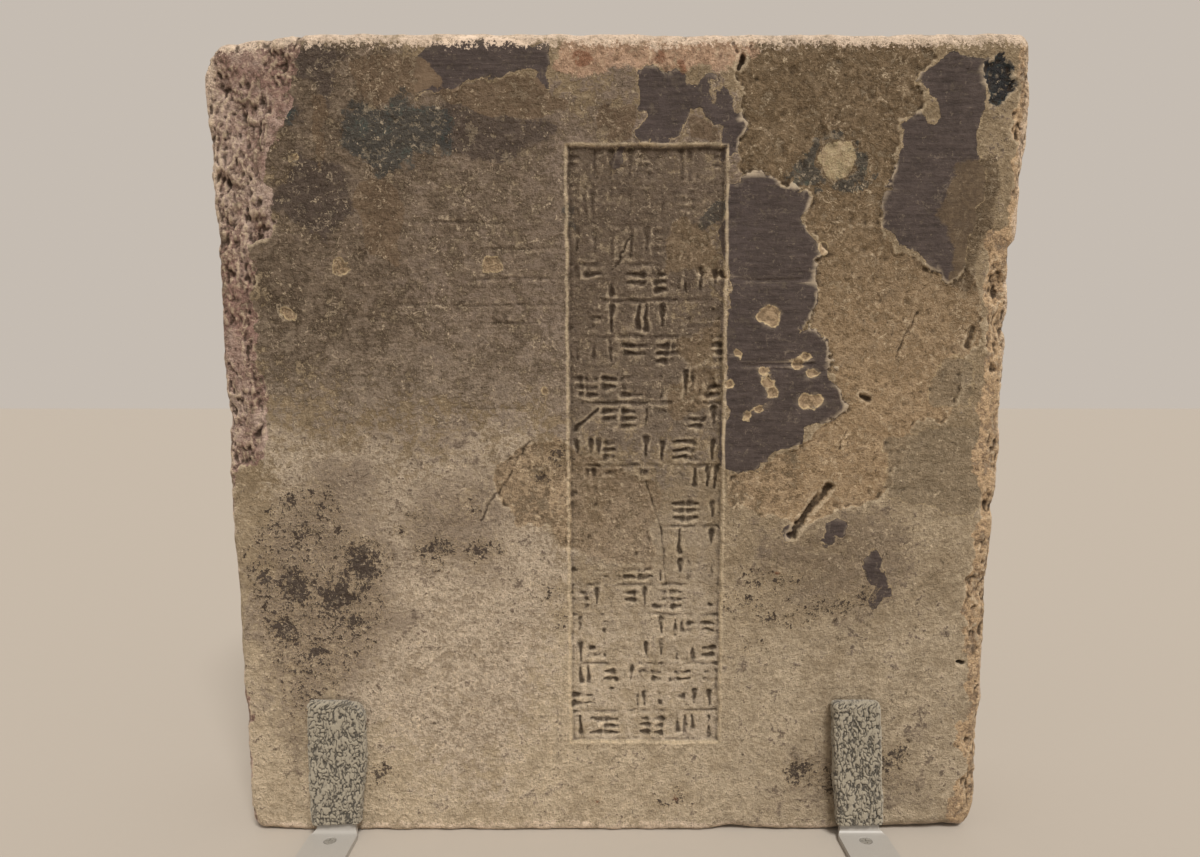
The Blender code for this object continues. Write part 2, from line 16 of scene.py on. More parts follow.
import bpy
import numpy as np
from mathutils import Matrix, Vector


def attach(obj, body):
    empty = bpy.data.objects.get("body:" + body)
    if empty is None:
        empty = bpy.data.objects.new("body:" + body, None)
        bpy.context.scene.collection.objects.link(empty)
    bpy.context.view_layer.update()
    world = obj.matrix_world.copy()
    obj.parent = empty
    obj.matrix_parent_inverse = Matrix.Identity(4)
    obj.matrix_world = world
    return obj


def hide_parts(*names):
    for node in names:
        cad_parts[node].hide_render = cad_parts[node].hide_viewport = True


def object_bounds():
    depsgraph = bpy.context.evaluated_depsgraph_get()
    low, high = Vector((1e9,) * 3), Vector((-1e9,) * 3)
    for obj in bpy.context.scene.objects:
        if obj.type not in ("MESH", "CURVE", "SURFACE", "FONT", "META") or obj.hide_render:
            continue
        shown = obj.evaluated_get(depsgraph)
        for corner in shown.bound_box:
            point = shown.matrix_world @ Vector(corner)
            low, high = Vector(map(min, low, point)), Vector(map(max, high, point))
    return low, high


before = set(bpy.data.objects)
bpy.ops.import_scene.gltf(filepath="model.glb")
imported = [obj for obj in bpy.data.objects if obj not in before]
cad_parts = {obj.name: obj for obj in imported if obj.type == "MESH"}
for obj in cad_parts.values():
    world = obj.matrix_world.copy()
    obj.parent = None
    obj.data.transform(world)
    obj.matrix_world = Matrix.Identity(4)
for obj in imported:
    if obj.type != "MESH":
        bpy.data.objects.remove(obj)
CAD_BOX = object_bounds()

LOG = logging.getLogger("brick")
MM = 0.001
FLIPPED = [0, 3, 2, 1]
Array = np.ndarray
Places = Sequence[Array]
Border = tuple[tuple[float, float], ...]
Stroke = tuple[tuple[float, float], tuple[float, float]]


# ---------------------------------------------------------------- fields


def ease(value: Array, low: float, high: float) -> Array:
    """Rise smoothly from 0 at low to 1 at high: 3s squared less 2s cubed."""
    share = np.clip((value - low) / (high - low), 0.0, 1.0)
    return share * share * (3.0 - 2.0 * share)


def scattered(key: Array) -> Array:
    """Random numbers from 0 to 1, one for each whole number, always the same."""
    mixed = key.astype(np.uint64)
    mixed = (mixed ^ (mixed >> np.uint64(33))) * np.uint64(0xFF51AFD7ED558CCD)
    mixed = (mixed ^ (mixed >> np.uint64(29))) * np.uint64(0xC4CEB9FE1A85EC53)
    return (mixed >> np.uint64(40)).astype(np.float64) / float(1 << 24)


def keyed(cells: Sequence[Array], seed: int) -> Array:
    """One whole number for each lattice cell, from its steps along every axis."""
    key = np.full(np.shape(cells[0]), seed * 7919 + 17, dtype=np.int64)
    for cell in cells:
        key = key * 1000003 + cell
    return key


def noise(places: Places, scale: float, seed: int) -> Array:
    """Smooth noise from -1 to 1.

    Formula: random values on the corners of a lattice with the given spacing, mixed
    along each axis by the eased share of the way across the cell.

    Args:
        places: coordinates, one array for each axis, in millimetres.
        scale: spacing of the lattice in millimetres.
        seed: picks the pattern.

    Returns:
        One value for each place.
    """
    lows, eases = [], []
    for place in places:
        scaled = place / scale
        low = np.floor(scaled)
        share = scaled - low
        lows.append(low.astype(np.int64))
        eases.append(share * share * (3.0 - 2.0 * share))
    total = np.zeros(np.shape(places[0]))
    for corner in itertools.product((0, 1), repeat=len(places)):
        weight = 1.0
        for eased, upper in zip(eases, corner):
            weight = weight * (eased if upper else 1.0 - eased)
        total += weight * scattered(keyed([low + upper for low, upper in zip(lows, corner)], seed))
    return 2.0 * total - 1.0


def fractal(places: Places, scale: float, octaves: int, seed: int, gain: float = 0.5) -> Array:
    """Noise in several sizes: each layer is half the size and gain times the height."""
    total, height, whole = 0.0, 1.0, 0.0
    for octave in range(octaves):
        total = total + height * noise(places, scale / 2**octave, seed + 31 * octave)
        whole += height
        height *= gain
    return total / whole


def pits(places: Places, spacing: float, seed: int, share: float = 1.0) -> Array:
    """Round hollows, 1 in the middle and 0 between them.

    Formula: one centre lies at random in each square cell; the value is 1 less the
    distance to the nearest centre over that hollow's own radius, never below 0.
    """
    across, up = places[0] / spacing, places[1] / spacing
    low_across, low_up = np.floor(across).astype(np.int64), np.floor(up).astype(np.int64)
    best = np.zeros(np.shape(across))
    for step_across, step_up in itertools.product((-1, 0, 1), repeat=2):
        cell = (low_across + step_across, low_up + step_up)
        centre_across = cell[0] + 0.15 + 0.7 * scattered(keyed(cell, seed))
        centre_up = cell[1] + 0.15 + 0.7 * scattered(keyed(cell, seed + 1))
        chance = scattered(keyed(cell, seed + 2))
        radius = np.where(chance < share, 0.18 + 0.42 * scattered(keyed(cell, seed + 3)), 1e-6)
        reach = np.hypot(across - centre_across, up - centre_up)
        best = np.maximum(best, 1.0 - reach / radius)
    return np.clip(best, 0.0, 1.0)


def inside(x: Array, z: Array, border: Border) -> Array:
    """Distance from a closed border in millimetres, above 0 inside it.

    Formula: the least distance to the border's straight pieces; its sign comes from
    counting how many pieces a line to the right crosses.
    """
    least = np.full(np.shape(x), 1e9)
    odd = np.zeros(np.shape(x), dtype=bool)
    for (ax, az), (bx, bz) in zip(border, border[1:] + border[:1]):
        run_x, run_z = bx - ax, bz - az
        along = ((x - ax) * run_x + (z - az) * run_z) / (run_x**2 + run_z**2 + 1e-9)
        share = np.clip(along, 0.0, 1.0)
        least = np.minimum(least, np.hypot(x - ax - share * run_x, z - az - share * run_z))
        if abs(run_z) > 1e-9:
            crosses = ((az > z) != (bz > z)) & (x < ax + (z - az) * run_x / run_z)
            odd ^= crosses
    return np.where(odd, least, -least)


def widest(x: Array, z: Array, borders: Sequence[Border]) -> Array:
    """Distance inside the nearest of several borders."""
    return np.max([inside(x, z, border) for border in borders], axis=0)


def near_points(x: Array, z: Array, points: Sequence[tuple[float, float, float]]) -> Array:
    """Distance inside the nearest of several rounds, each given as x, z and radius."""
    return np.max([radius - np.hypot(x - px, z - pz) for px, pz, radius in points], axis=0)


def groove(x: Array, z: Array, start: tuple[float, float], end: tuple[float, float],
           widths: tuple[float, float], depths: tuple[float, float], head: float) -> Array:
    """Depth of a tapered groove in millimetres.

    Formula: the width falls from the first to the second value over the head's length;
    the depth runs from the first to the second value over the whole length, and eases
    to nothing at the groove's sides.
    """
    run_x, run_z = end[0] - start[0], end[1] - start[1]
    length = math.hypot(run_x, run_z) + 1e-9
    far = np.clip(((x - start[0]) * run_x + (z - start[1]) * run_z) / length, 0.0, length)
    gap = np.hypot(x - start[0] - far * run_x / length, z - start[1] - far * run_z / length)
    half = np.interp(far, (0.0, head), widths) / 2.0
    depth = depths[0] + (depths[1] - depths[0]) * far / length
    return depth * ease(1.0 - gap / half, 0.0, 0.8)


# ---------------------------------------------------------------- the brick's shape


@dataclass(frozen=True)
class WearTable:
    """What an arris has lost: place along the side, width lost, depth lost."""

    rows: tuple[tuple[float, float, float], ...]

    def width(self, place: Array) -> Array:
        """Width lost on the face, straight between the rows."""
        return np.interp(place, [row[0] for row in self.rows], [row[1] for row in self.rows])

    def depth(self, place: Array) -> Array:
        """Depth lost, straight between the rows."""
        return np.interp(place, [row[0] for row in self.rows], [row[2] for row in self.rows])


@dataclass(frozen=True)
class Outline:
    """The brick's upright outline, with the solid's sizes."""

    width: float = 330.0
    height: float = 334.0
    front: float = -37.5
    back: float = 37.5
    back_wear: float = 3.0
    back_share: float = 0.4
    edge_wave: float = 0.3
    left_loss: tuple[tuple[float, float], ...] = (
        (0, 2.7), (50, 2.7), (107, 3.6), (150, 2.8), (200, 2.8), (240, 3.5), (256, 2.6), (285, 0.6),
        (334, 0.0))
    right_loss: tuple[tuple[float, float], ...] = (
        (0, 3.0), (34, 1.8), (38, 1.4), (42, 3.0), (50, 3.2), (60, 2.0), (78, 3.4), (100, 3.3),
        (150, 3.0), (174, 1.6), (190, 2.7), (228, 1.5), (253.5, 3.4), (256.5, 1.1), (274, 1.8),
        (292, 0.1), (318, 0.7), (334, 1.4))
    radii: tuple[float, float, float, float] = (6.0, 6.0, 5.0, 12.0)
    wear_left: WearTable = WearTable((
        (0, 3.5, 3.5), (161, 3.0, 3.0), (167, 13.5, 4.0), (182, 17.0, 5.0), (206, 14.5, 4.5),
        (229, 13.5, 4.5), (252, 14.5, 5.5), (256, 21.0, 7.0), (285, 24.7, 8.5), (308, 35.8, 9.5),
        (334, 45.0, 10.0)))
    wear_right: WearTable = WearTable((
        (0, 9.5, 4.0), (43, 10.0, 5.0), (78, 9.5, 4.0), (111, 8.5, 3.5), (150, 10.0, 4.0),
        (174, 11.5, 5.0), (216, 11.0, 5.0), (241, 16.5, 7.0), (252, 12.0, 6.0), (274, 6.0, 4.0),
        (300, 8.5, 4.0), (315, 7.0, 4.0), (334, 9.0, 5.0)))
    wear_top: WearTable = WearTable((
        (-161, 6.0, 8.0), (-120, 4.0, 5.0), (10, 4.5, 4.5), (45, 6.0, 6.0), (60, 4.0, 4.5),
        (161, 4.5, 4.5)))
    wear_bottom: WearTable = WearTable((
        (-161, 6.0, 6.0), (-142, 3.0, 3.0), (40, 2.8, 3.0), (54, 6.5, 9.0), (76, 3.5, 4.0),
        (94, 3.5, 4.0), (122, 5.8, 8.0), (140, 7.2, 10.0), (161, 9.0, 12.0)))

    @staticmethod
    def lost(place: Array, table: tuple[tuple[float, float], ...]) -> Array:
        """Loss at a place along a side, straight between the table's rows."""
        return np.interp(place, [row[0] for row in table], [row[1] for row in table])

    def waver(self, place: Array, phase: float) -> Array:
        """Small waver of an edge: two sines of unlike length, from 0 to twice the wave."""
        return self.edge_wave * (1.0 + (np.sin(place * 0.173 + phase)
                                        + np.sin(place * 0.411 + 2.3 * phase)) / 2.0)

    def left(self, z: Array, amount: float) -> Array:
        """Left side at a height."""
        return -self.width / 2 + amount * (self.lost(z, self.left_loss) + self.waver(z, 0.4))

    def right(self, z: Array, amount: float) -> Array:
        """Right side at a height, with its ledge."""
        return self.width / 2 - amount * (self.lost(z, self.right_loss) + self.waver(z, 1.9))

    def top(self, x: Array, amount: float) -> Array:
        """Height of the top side."""
        return self.height - amount * self.waver(x, 3.1)

    def rounded(self, x: Array, z: Array) -> tuple[Array, Array]:
        """Bend the square corners of a grid round.

        Formula: within a radius of a corner, a point that is P and Q (P the larger) from
        the arc's centre goes to distance P at an angle of 45 degrees times Q over P.
        """
        half = self.width / 2
        corners = ((-half, 0.0, 1, 1), (half, 0.0, -1, 1),
                   (half, self.height, -1, -1), (-half, self.height, 1, -1))
        x, z = x.copy(), z.copy()
        for (corner_x, corner_z, in_x, in_z), radius in zip(corners, self.radii):
            reach_x, reach_z = radius - (x - corner_x) * in_x, radius - (z - corner_z) * in_z
            near = (reach_x > 0) & (reach_z > 0)
            far, less = np.maximum(reach_x, reach_z), np.minimum(reach_x, reach_z)
            angle = math.pi / 4 * less / np.maximum(far, 1e-9)
            long_side, short_side = far * np.cos(angle), far * np.sin(angle)
            wide = reach_x >= reach_z
            in_by = radius - np.where(wide, long_side, short_side)
            up_by = radius - np.where(wide, short_side, long_side)
            x = np.where(near, corner_x + in_x * in_by, x)
            z = np.where(near, corner_z + in_z * up_by, z)
        return x, z

    def placed(self, x: Array, z: Array, amount: float) -> tuple[Array, Array]:
        """Stretch a plain rectangle's points between the four real sides."""
        share_x, share_z = x / self.width + 0.5, z / self.height
        left, right = self.left(z, amount), self.right(z, amount)
        return left + share_x * (right - left), share_z * self.top(x, amount)


@dataclass(frozen=True)
class StampedPanel:
    """The sunk panel with its ruled lines and rows of strokes, as in the solid."""

    left_top: float = -19.0
    left_bottom: float = -18.3
    right_top: float = 44.5
    right_bottom: float = 46.6
    top: float = 291.4
    bottom: float = 42.5
    depth: float = 1.2
    rules: tuple[float, ...] = (
        277.0, 261.6, 246.3, 232.1, 217.6, 190.5, 164.6, 138.6, 113.3, 100.0, 77.9, 56.4)
    rule_width: float = 1.1
    rule_depth: float = 0.6
    tall_row: float = 18.0
    columns: tuple[float, ...] = (0.0, 0.34, 0.66, 1.0)
    column_margin: float = 1.2
    row_margin: float = 1.1
    block_gap: float = 0.7
    spacing: float = 3.1
    head: float = 2.7
    tail: float = 1.0
    stroke_depth: float = 0.8
    slanted_share: float = 0.16
    upright_share: float = 0.60
    flipped_share: float = 0.25
    kept_share: float = 0.9
    pair_share: float = 0.45
    seed: int = 11
    worn: tuple[tuple[float, float, float, float], ...] = (
        (-20.0, 22.0, 120.0, 160.0), (20.0, 43.0, 245.0, 266.0), (26.0, 41.0, 206.0, 222.0))
    worn_loss: float = 0.9
    faint_rows: tuple[float, float] = (236.0, 262.0)
    faint_loss: float = 0.5

    def sides(self, z: Any) -> tuple[Any, Any]:
        """Left and right border at a height."""
        share = (z - self.bottom) / (self.top - self.bottom)
        return (self.left_bottom + share * (self.left_top - self.left_bottom),
                self.right_bottom + share * (self.right_top - self.right_bottom))

    def distance(self, x: Array, z: Array) -> Array:
        """Distance inside the panel's border."""
        left, right = self.sides(z)
        return np.minimum.reduce((x - left, right - x, z - self.bottom, self.top - z))

    def rows(self) -> list[tuple[float, float]]:
        """Bottom and top of each row of strokes; two rows share a tall one."""
        lines = sorted((self.top, self.bottom) + self.rules)
        rows: list[tuple[float, float]] = []
        for low, high in zip(lines, lines[1:]):
            middle = (low + high) / 2
            rows += [(low, middle), (middle, high)] if high - low > self.tall_row else [(low, high)]
        return rows

    def block(self, left: float, right: float, low: float, high: float,
              chance: random.Random) -> list[Stroke]:
        """Strokes of one block: upright side by side, level and stacked, or one slanted."""
        kind = chance.random()
        side = self.head / 2
        if kind < self.slanted_share and right - left > 2.4 * self.head:
            falling = ((left + side, high - side), (right - side, low + side))
            rising = ((left + side, low + side), (right - side, high - side))
            return [falling if chance.random() < 0.5 else rising]
        upright = kind < self.upright_share
        span = (right - left) if upright else (high - low)
        count = max(1, int(span / self.spacing))
        start = span / 2 - (count - 1) * self.spacing / 2
        low_cut, high_cut = chance.uniform(0.0, 0.3), chance.uniform(0.0, 0.2)
        flip = chance.random() < self.flipped_share
        strokes = []
        for index in range(count):
            cross = start + index * self.spacing
            cut_back = low_cut + chance.uniform(0.0, 0.15)
            if upright:
                tall = high - low
                tail = (left + cross, low + cut_back * tall)
                head = (left + cross, high - high_cut * tall)
            else:
                tail, head = (right - cut_back * (right - left), low + cross), (left, low + cross)
            if chance.random() < self.kept_share:
                strokes.append((tail, head) if flip else (head, tail))
        return strokes

    def cell(self, left: float, right: float, low: float, high: float,
             chance: random.Random) -> list[Stroke]:
        """Strokes of one cell, which is shared by two or three blocks of unlike width."""
        shares = [0.0, chance.uniform(0.30, 0.37), chance.uniform(0.64, 0.72), 1.0]
        if chance.random() < self.pair_share:
            del shares[1]
        strokes = []
        for begin, end in zip(shares, shares[1:]):
            block_left = left + begin * (right - left) + (self.block_gap if begin else 0.0)
            block_right = left + end * (right - left) - (self.block_gap if end < 1.0 else 0.0)
            strokes += self.block(block_left, block_right, low, high, chance)
        return strokes

    def strokes(self) -> list[Stroke]:
        """Head and tail of every stroke."""
        chance = random.Random(self.seed)
        strokes = []
        for low, high in self.rows():
            left, right = self.sides((low + high) / 2)
            for begin, end in zip(self.columns, self.columns[1:]):
                strokes += self.cell(
                    left + begin * (right - left) + self.column_margin,
                    left + end * (right - left) - self.column_margin,
                    low + self.row_margin, high - self.row_margin, chance)
        return strokes

    def wear(self, x: Array, z: Array) -> Array:
        """How much of the strokes is left: little in the worn places, less in the upper rows."""
        left = np.ones(np.shape(x))
        for from_x, to_x, from_z, to_z in self.worn:
            gap = np.minimum(np.minimum(x - from_x, to_x - x), np.minimum(z - from_z, to_z - z))
            left *= 1.0 - self.worn_loss * ease(gap, -3.0, 3.0)
        return left * (1.0 - self.faint_loss * ease(z, *self.faint_rows))

    def sunk(self, x: Array, z: Array) -> Array:
        """Depth of the panel's floor with a raised lip round it, in millimetres."""
        inner = self.distance(x, z) + 0.35 * noise((x, z), 6.0, 411)
        lip = ease(inner, -1.6, -0.5) * (1.0 - ease(inner, -0.4, 0.3))
        return self.depth * ease(inner, -0.4, 1.3) - 0.2 * lip

    def cuts(self, x: Array, z: Array) -> Array:
        """Depth of the rules and strokes under the panel's floor, in millimetres."""
        inner = self.distance(x, z)
        depth = np.zeros(np.shape(x))
        near = inner > -1.0
        bent = 0.9 * fractal((x[near], z[near]), 5.0, 4, 421, 0.6)
        skewed = 0.9 * fractal((x[near], z[near]), 5.0, 4, 423, 0.6)
        px, pz = x[near] + bent, z[near] + skewed
        ruled = np.zeros(px.shape)
        for height in self.rules:
            uneven = 0.25 * noise((px,), 9.0, int(height))
            off = np.abs(pz - height - uneven) / self.rule_width
            ruled = np.maximum(ruled, ease(1.0 - off, 0.0, 0.8))
        cut = self.rule_depth * ruled * ease(inner[near], 0.4, 1.2)
        for head, tail in self.strokes():
            reach = self.head
            box = ((px > min(head[0], tail[0]) - reach) & (px < max(head[0], tail[0]) + reach)
                   & (pz > min(head[1], tail[1]) - reach) & (pz < max(head[1], tail[1]) + reach))
            length = math.dist(head, tail)
            made = groove(px[box], pz[box], head, tail, (self.head + 1.5, self.tail + 0.7),
                          (1.4 * self.stroke_depth, self.stroke_depth), min(length, 5.0))
            cut[box] = np.maximum(cut[box], made)
        patchy = 0.15 + 0.85 * ease(fractal((px, pz), 9.0, 5, 401, 0.62), -0.35, 0.15)
        depth[near] = cut * self.wear(px, pz) * patchy
        return depth


# ---------------------------------------------------------------- the brick's ground


class Tone(enum.Enum):
    """Kinds of ground on the brick; each is kept on the mesh as a distance inside it."""

    SKIN = "skin"
    BARE = "bare"
    SPALL = "spall"
    OLIVE = "olive"
    ROSY = "rosy"
    TEAL = "teal"
    SOOT = "soot"
    HAZE = "haze"
    STAIN = "stain"
    RED = "red"
    PALE = "pale"
    GREY = "grey"
    FLAKE = "flake"
    EDGE = "edge"
    FILM = "film"
    PIT = "pit"
    RUST = "rust"
    PATCH = "patch"
    PANEL = "panel"
    CARVED = "carved"
    CAVITY = "cavity"
    HOLLOW = "hollow"
    HEIGHT = "height"


BARE_BORDER: Border = (
    (47, 337), (129, 337), (127, 324), (120, 316), (121, 306), (112, 301), (114, 289), (110, 275),
    (106, 261), (119, 247), (132, 240), (141, 246), (147, 237), (149, 216), (143, 202), (136, 185),
    (122, 178), (118, 160), (102, 148), (86, 141), (71, 143), (58, 151), (56, 161), (70, 167),
    (78, 175), (88, 184), (91, 200), (87, 214), (77, 220), (80, 232), (78, 247), (85, 255),
    (79, 261), (76, 274), (62, 280), (51, 282), (48, 292), (53, 306))
SKIN_BORDERS: tuple[Border, ...] = (
    ((45, 281), (50, 277.5), (55, 281), (62, 282), (67, 277), (76, 275), (78, 262), (83, 257),
     (86, 253), (80, 248), (82, 232), (77, 222), (88, 216), (92, 207), (87, 200), (94, 188), (88, 181),
     (79, 182), (77, 175), (69.5, 170), (62, 163), (52.9, 160), (45.5, 163)),
    ((128, 322), (135, 327), (146, 324), (145, 308), (144, 290), (147, 281), (145, 262), (141, 246),
     (134, 237), (126, 243), (120, 250), (108, 260), (104, 268), (109, 276), (115, 289), (112, 300),
     (118, 303), (127, 303), (126, 311), (119, 315)),
    ((8.1, 313.4), (14.7, 322.5), (20.6, 320.9), (27.9, 317.9), (29.4, 313.4), (36, 313.4),
     (38.9, 318), (41.5, 315.6), (40, 308), (42.6, 308), (42.6, 312.2), (47.7, 310.3), (49.2, 305.5),
     (54, 304.6), (53.5, 296.7), (49.2, 288), (45, 287), (44.3, 301), (32.3, 303.5), (28.2, 296.7),
     (23.5, 292.5), (11.8, 292.2), (10, 297), (13.3, 301.2), (9, 305)),
    ((86, 133.5), (88, 138.5), (94, 140), (98.5, 137.5), (97, 133), (91, 131)),
    ((71, 136), (74, 140), (79, 140), (78.5, 135), (74, 133.5)),
    ((106.5, 124), (110, 128), (114, 124), (114.5, 116), (117, 110), (112, 102), (107.5, 106), (108, 114)),
    ((0.5, 292), (4.2, 293), (4.5, 283), (1.5, 279.5), (-0.3, 285)),
)
BAND_BORDER: Border = (
    (-80, 323.5), (-68.4, 330.6), (-26.8, 331), (-22, 322), (-25, 312.2), (-29.6, 314), (-30, 318),
    (-40, 319), (-46, 314), (-67, 313), (-72.7, 308), (-78.5, 310), (-81.4, 317.9))
STAIN_BORDERS: tuple[Border, ...] = (
    ((-114.4, 331), (-105.8, 325), (-108, 318), (-112, 305), (-118.7, 312), (-129, 318), (-123, 328)),
    ((-132, 306), (-126, 306), (-123, 300), (-130, 297)),
    ((-68, 304), (-30, 303), (-24, 296), (-44, 284), (-70, 290)),
    ((-132, 290), (-106, 288), (-103, 268), (-120, 257), (-135, 268)),
)
PALE_BORDERS: tuple[Border, ...] = (
    ((-72, 309.6), (-64.4, 312.6), (-45, 313.4), (-38, 319), (-32.2, 317), (-24.9, 312.6),
     (-14, 305), (-29.3, 303.5), (-43.9, 301.8), (-60, 303), (-66, 307)),
    ((-8, 304), (8, 306), (10, 294), (0, 291.5), (-9, 295)),
    ((30, 302), (44, 300), (43, 294), (30, 294)),
    ((-103, 323), (-92, 325), (-76, 323), (-68, 313), (-82, 308), (-100, 308)),
    ((-101, 281), (-87, 281), (-84, 263), (-88, 247), (-99, 251), (-103, 270)),
    ((-117, 308), (-112, 308), (-113, 291), (-116, 283), (-118, 291)),
)
PATCH_BORDERS: tuple[Border, ...] = (
    ((22, 267), (28, 268), (35, 263), (40, 257), (42.5, 253), (42.5, 243), (35, 244), (30, 245.5),
     (21, 244), (19.5, 255.5), (22, 261)),
    ((26, 215), (34, 217), (40, 225), (40.5, 209.5), (34.7, 208.4), (30.4, 206), (26, 210.6)),
    ((27, 201), (40, 203), (41, 194), (40, 186), (24, 185), (21.7, 191.5)),
    ((-50, 160), (-38, 174), (-20, 178), (-8, 168), (18, 160), (22, 140), (16, 122), (-14, 124),
     (-28, 136), (-42, 138)),
    ((48, 160), (70, 168), (78, 176), (80, 150), (60, 146), (50, 150)),
)
FILM_BORDER: Border = (
    (136, 287), (152, 290), (153, 270), (149, 250), (141, 236), (134, 238), (135, 252), (129, 262),
    (134, 275))
PIT_BORDER: Border = (
    (145, 322), (151, 326), (156, 321), (157, 312), (152, 305), (147, 307), (144.5, 315))
RED_BORDER: Border = (
    (-21, 337), (60, 337), (56, 326), (47, 318), (36, 321), (9.9, 319), (-5.8, 316), (-21.4, 321))
OLIVE_BORDER: Border = (
    (-152, 337), (-80, 337), (-74, 318), (-22, 314), (10, 306), (47, 296), (47, 176), (30, 166),
    (2, 172), (-30, 186), (-60, 184), (-89, 178), (-120, 184), (-150, 190))
HAZE_BORDERS: tuple[Border, ...] = (
    ((-162, 128), (-140, 158), (-112, 160), (-94, 126), (-98, 94), (-125, 66), (-120, 30), (-140, 30),
     (-160, 90)),
    ((-84, 160), (-60, 165), (-45, 140), (-50, 124), (-78, 126), (-88, 142)),
    ((60, 130), (120, 140), (124, 104), (96, 98), (62, 108)),
    ((70, 40), (130, 46), (132, 14), (74, 10)),
)
TEAL_BORDERS: tuple[Border, ...] = (
    ((-106, 303), (-101, 309), (-88, 306), (-84, 311), (-76, 303), (-67, 301.6), (-66, 291.5),
     (-78, 283), (-92, 281), (-99, 288), (-107, 293)),
)
TEAL_SPOTS = (
    (-18.3, 266.5, 2.6), (-17.6, 262.5, 2.2), (39.5, 265.0, 4.4), (42.5, 268.0, 3.0), (36.0, 263.0, 2.6),
    (-129.0, 302.5, 3.2))
SOOT_SPOTS = (
    (-136, 148, 6), (-124, 145, 6), (-130, 134, 7), (-108, 121, 12), (-119, 109, 13), (-137, 113, 11),
    (-151, 119, 8), (-142, 96, 10), (-128, 85, 9), (-112, 98, 8), (-139, 77, 6), (-134, 62, 5),
    (-126, 46, 6), (-76, 128, 7), (-72, 131, 6), (-58, 129, 6.5), (-51, 130, 4), (-83, 144, 4),
    (-63, 147, 4), (-90, 136, 3), (83, 29, 8), (96, 22, 8), (125, 34, 8), (-103, 27, 6), (-8, 17, 2.6),
    (28, 16, 5), (58, 112, 4), (-22, 168, 6), (-30, 160, 5), (-20, 100, 5), (-26, 110, 4), (104, 108, 5),
    (66, 116, 4), (78, 118, 4), (20, 14, 3), (-60, 60, 2), (60, 86, 2), (48, 104, 4), (56, 103, 5),
    (66, 100, 5), (76, 99, 4), (86, 102, 5), (97, 103, 5), (70, 112, 5))
SOOT_BORDER: Border = (
    (-160, 128), (-150, 140), (-142, 156), (-122, 156), (-118, 136), (-100, 132), (-97, 104), (-106, 86),
    (-116, 78), (-122, 54), (-140, 48), (-150, 76), (-152, 104))
RUST_SPOTS = (
    (-8.0, 19.0, 1.6), (-7.5, 15.0, 1.3), (28.0, 16.5, 1.5), (18.0, 324.0, 3.2), (-12.0, 323.0, 4.0),
    (26.0, 321.0, 2.6), (70.0, 118.0, 1.5))
ROSY_BORDER: Border = (
    (-150, 178), (-90, 172), (-20, 176), (-14, 150), (-18, 60), (-60, 20), (-100, 40), (-150, 60))
GREY_BORDERS: tuple[Border, ...] = (
    ((136, 209), (141, 210), (147, 207), (147, 190), (133, 188), (130, 192)),
    ((112, 175), (132, 180), (154, 181), (157, 150), (150, 144), (116, 150)),
)
LUMP = (88.6, 286.0, 8.0)
LUMP_RIM = (87.5, 283.5, 15.5, 11.0)
FLAKES = (
    (-133, 226, 2.4), (-110.7, 245, 3.0), (-50, 245.6, 3.4), (63.5, 226, 4.6), (50.4, 210.5, 1.8),
    (64, 199, 2.6), (62, 204, 2.2), (66, 194, 2.4), (60, 188, 2.0), (55, 185, 1.8), (80, 191, 3.6),
    (84, 192, 2.8), (76, 207, 2.4), (82, 203, 2.2), (79, 210, 1.8), (-28, 196, 1.6), (47, 198, 2.4),
    (84, 252, 2.0), (-128, 287, 1.4))
STRAW_MARKS = (
    (75.5, 135.0, 91.2, 155.5, 5.0, 2.6), (116.0, 209.5, 123.6, 227.2, 2.0, 0.7),
    (103.0, 193.5, 106.0, 192.0, 3.6, 1.6), (150.0, 78.8, 152.0, 78.8, 2.4, 2.4),
    (49.0, 320.0, 50.0, 325.0, 2.6, 3.0), (45.5, 330.0, 47.5, 326.5, 2.6, 1.0),
    (88.0, 166.0, 102.0, 171.0, 1.2, 0.3), (96.0, 240.0, 99.0, 252.0, 1.6, 0.3),
    (60.0, 205.0, 73.0, 204.0, 0.9, 0.4), (-120.0, 96.0, -112.0, 104.0, 1.0, 0.4),
    (114.0, 155.5, 152.0, 153.0, 0.9, 0.35), (-56.5, 141.5, -35.0, 175.0, 1.4, 0.7),
    (13.6, 158.0, 20.0, 138.0, 1.2, 0.6), (20.0, 138.0, 22.6, 113.0, 1.2, 0.7),
    (6.0, 256.0, -0.6, 244.0, 1.0, 1.0), (77.0, 141.0, 88.0, 143.0, 1.0, 0.6),
    (94.0, 172.0, 97.0, 178.0, 1.8, 0.8), (82.0, 300.0, 84.0, 294.0, 3.4, 0.5),
    (145.0, 214.0, 147.0, 221.0, 4.0, 1.4))
SCRATCH_LINES = (
    (-92.0, -24.0, 230.0), (-60.0, -24.0, 223.0), (-58.0, -24.0, 252.0), (-70.0, -30.0, 188.0),
    (-64.0, -22.0, 240.5), (46.0, 78.0, 240.0), (46.0, 84.0, 206.0), (-80.0, -40.0, 262.0))


